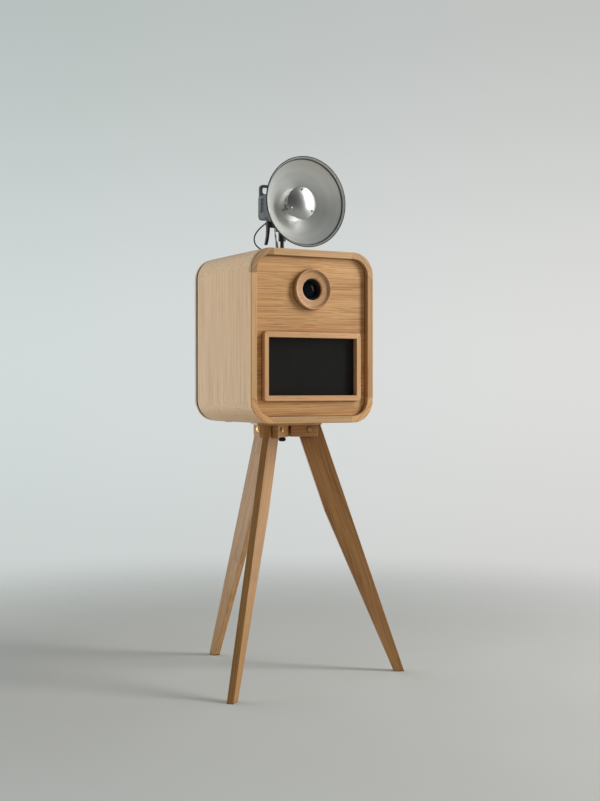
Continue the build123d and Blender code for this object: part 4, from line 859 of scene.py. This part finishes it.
# clouds of two tones, with a roughness that goes from one value to the other with them
glasses = {
    "screenGlass": {"node": "display_glass", "a": (0.0145, 0.0142, 0.0136), "b": (0.0170, 0.0168, 0.0163),
                    "rough": (0.06, 0.11), "clouds": 0.12, "set": {"IOR": 1.5, "Specular IOR Level": 0.35, "Coat Weight": 0.2,
                                                                   "Coat Roughness": 0.03}},
    "tubeGlass": {"node": "flash_tube", "a": (0.70, 0.68, 0.58), "b": (0.55, 0.53, 0.44), "rough": (0.15, 0.25),
                  "clouds": 0.012, "set": {"IOR": 1.5}},
    "lensGlass": {"node": "lens_glass", "a": (0.004, 0.010, 0.009), "b": (0.010, 0.006, 0.014), "rough": (0.03, 0.06),
                  "clouds": 0.014, "set": {"IOR": 1.5, "Specular IOR Level": 0.05,
                                           "Specular Tint": (0.62, 0.80, 0.34, 1)}},
}
for name, look in glasses.items():
    material, tree, shader, place = newMaterial(name, look["set"])
    cloud = placeGroup(tree, speckGroup, {"Vector": place, "Size": 0.004, "Clouds": look["clouds"]})["Cloud"]
    tree.links.new(mixColours(tree, cloud, (*look["a"], 1), (*look["b"], 1)), shader["Base Color"])
    low, high = look["rough"]
    tree.links.new(math2(tree, "MULTIPLY_ADD", cloud, high - low, low), shader["Roughness"])
    paint([look["node"]], material)
print("metals, plastics and glass painted")

stage = {"radius": 6.0, "fadeFrom": 0.9, "fadeTo": 3.2, "floor": (0.51, 0.515, 0.50)}

floor = meshPiece("floor", [(stage["radius"] * math.cos(a), stage["radius"] * math.sin(a), 0)
                            for a in (2 * math.pi * k / 64 for k in range(64))], [tuple(range(64))])
floorPaint, tree, shader, place = newMaterial("floorPaint", {"Roughness": 0.85, "Specular IOR Level": 0.1})
distance = node(tree, "VectorMath", {0: place}, operation="LENGTH").outputs["Value"]
tree.links.new(spread(tree, distance, stage["fadeFrom"], stage["fadeTo"], 1.0, 0.0), shader["Alpha"])
cloud = placeGroup(tree, speckGroup, {"Vector": place, "Size": 0.01, "Clouds": 1.2})
lighter = tuple(c * 1.04 for c in stage["floor"])
tree.links.new(mixColours(tree, cloud["Cloud"], (*stage["floor"], 1), (*lighter, 1)), shader["Base Color"])
floor.data.materials.append(floorPaint)

air = {"horizon": (0.645, 0.700, 0.695), "above": (0.470, 0.520, 0.510), "below": (0.510, 0.545, 0.530),
       "warmLitSide": (1.12, 1.04, 1.03), "warmLitWay": (0.876, -0.482, 0.0),
       "fill": 0.12, "backLobe": 2.1, "backWay": (-0.47, 0.88, 0.05), "lobeFrom": 0.45, "upDown": 0.4,
       "rightLobe": 2.0, "rightWay": (1.0, -0.05, 0.05), "ground": 0.45, "ceiling": 0.28}

world = bpy.data.worlds.new("studioAir")
scene.world = world
world.use_nodes = True
tree = world.node_tree
tree.nodes.clear()
way = node(tree, "TexCoord").outputs["Generated"]
height = node(tree, "SeparateXYZ", {0: way}).outputs[2]
# painted light on the backdrop seen by the camera: brighter near the horizon, and brighter and warmer towards the
# right
seen = mixColours(tree, spread(tree, height, 0.02, 0.34), (*air["horizon"], 1), (*air["above"], 1))
seen = mixColours(tree, spread(tree, height, 0.02, -0.34), seen, (*air["below"], 1))
toWarmLit = node(tree, "VectorMath", {0: way, 1: air["warmLitWay"]}, operation="DOT_PRODUCT").outputs["Value"]
seen = mixColours(tree, spread(tree, toWarmLit, -0.25, 0.25), seen, (*air["warmLitSide"], 1), blend="MULTIPLY")
seenLight = node(tree, "Background", {"Color": seen, "Strength": 1.0}).outputs[0]
toBack = node(tree, "VectorMath", {0: way, 1: Vector(air["backWay"]).normalized()}, operation="DOT_PRODUCT")
lobe = math2(tree, "MULTIPLY", spread(tree, toBack.outputs["Value"], air["lobeFrom"], 0.97), air["backLobe"])
flatter = math2(tree, "MULTIPLY_ADD", math2(tree, "ABSOLUTE", height), -air["upDown"], 1.0)
toRight = node(tree, "VectorMath", {0: way, 1: Vector(air["rightWay"]).normalized()}, operation="DOT_PRODUCT")
lobe = math2(tree, "ADD", lobe, spread(tree, toRight.outputs["Value"], 0.70, 0.98, 0.0, air["rightLobe"]))
power = math2(tree, "MULTIPLY", math2(tree, "ADD", lobe, air["fill"]), flatter)
power = math2(tree, "ADD", power, spread(tree, height, 0.0, -0.3, 0.0, air["ground"]))
power = math2(tree, "ADD", power, spread(tree, height, 0.35, 0.9, 0.0, air["ceiling"]))
fillLight = node(tree, "Background", {"Color": (0.97, 1.0, 0.99, 1), "Strength": power}).outputs[0]
chosen = node(tree, "MixShader", {0: node(tree, "LightPath").outputs["Is Camera Ray"], 1: fillLight, 2: seenLight})
tree.links.new(chosen.outputs[0], node(tree, "OutputWorld").inputs["Surface"])

lamps = {
    "tallWindow": {"azimuth": -42, "elevation": 26, "distance": 3.6, "size": (0.9, 2.9), "power": 100,
                   "colour": (1.0, 0.985, 0.96)},
}
for name, lamp in lamps.items():
    light = bpy.data.lights.new(name, "AREA")
    light.shape = "RECTANGLE"
    light.size, light.size_y = lamp["size"]
    light.energy = lamp["power"]
    light.color = lamp["colour"]
    holder = bpy.data.objects.new(name, light)
    azimuth, elevation = math.radians(lamp["azimuth"]), math.radians(lamp["elevation"])
    out = Vector((math.cos(azimuth) * math.cos(elevation), math.sin(azimuth) * math.cos(elevation),
                  math.sin(elevation)))
    holder.location = Vector((standAxis.x, standAxis.y, 1.1)) + out * lamp["distance"]
    holder.rotation_euler = out.to_track_quat("Z", "Y").to_euler()
    scene.collection.objects.link(holder)
print("stage lit")
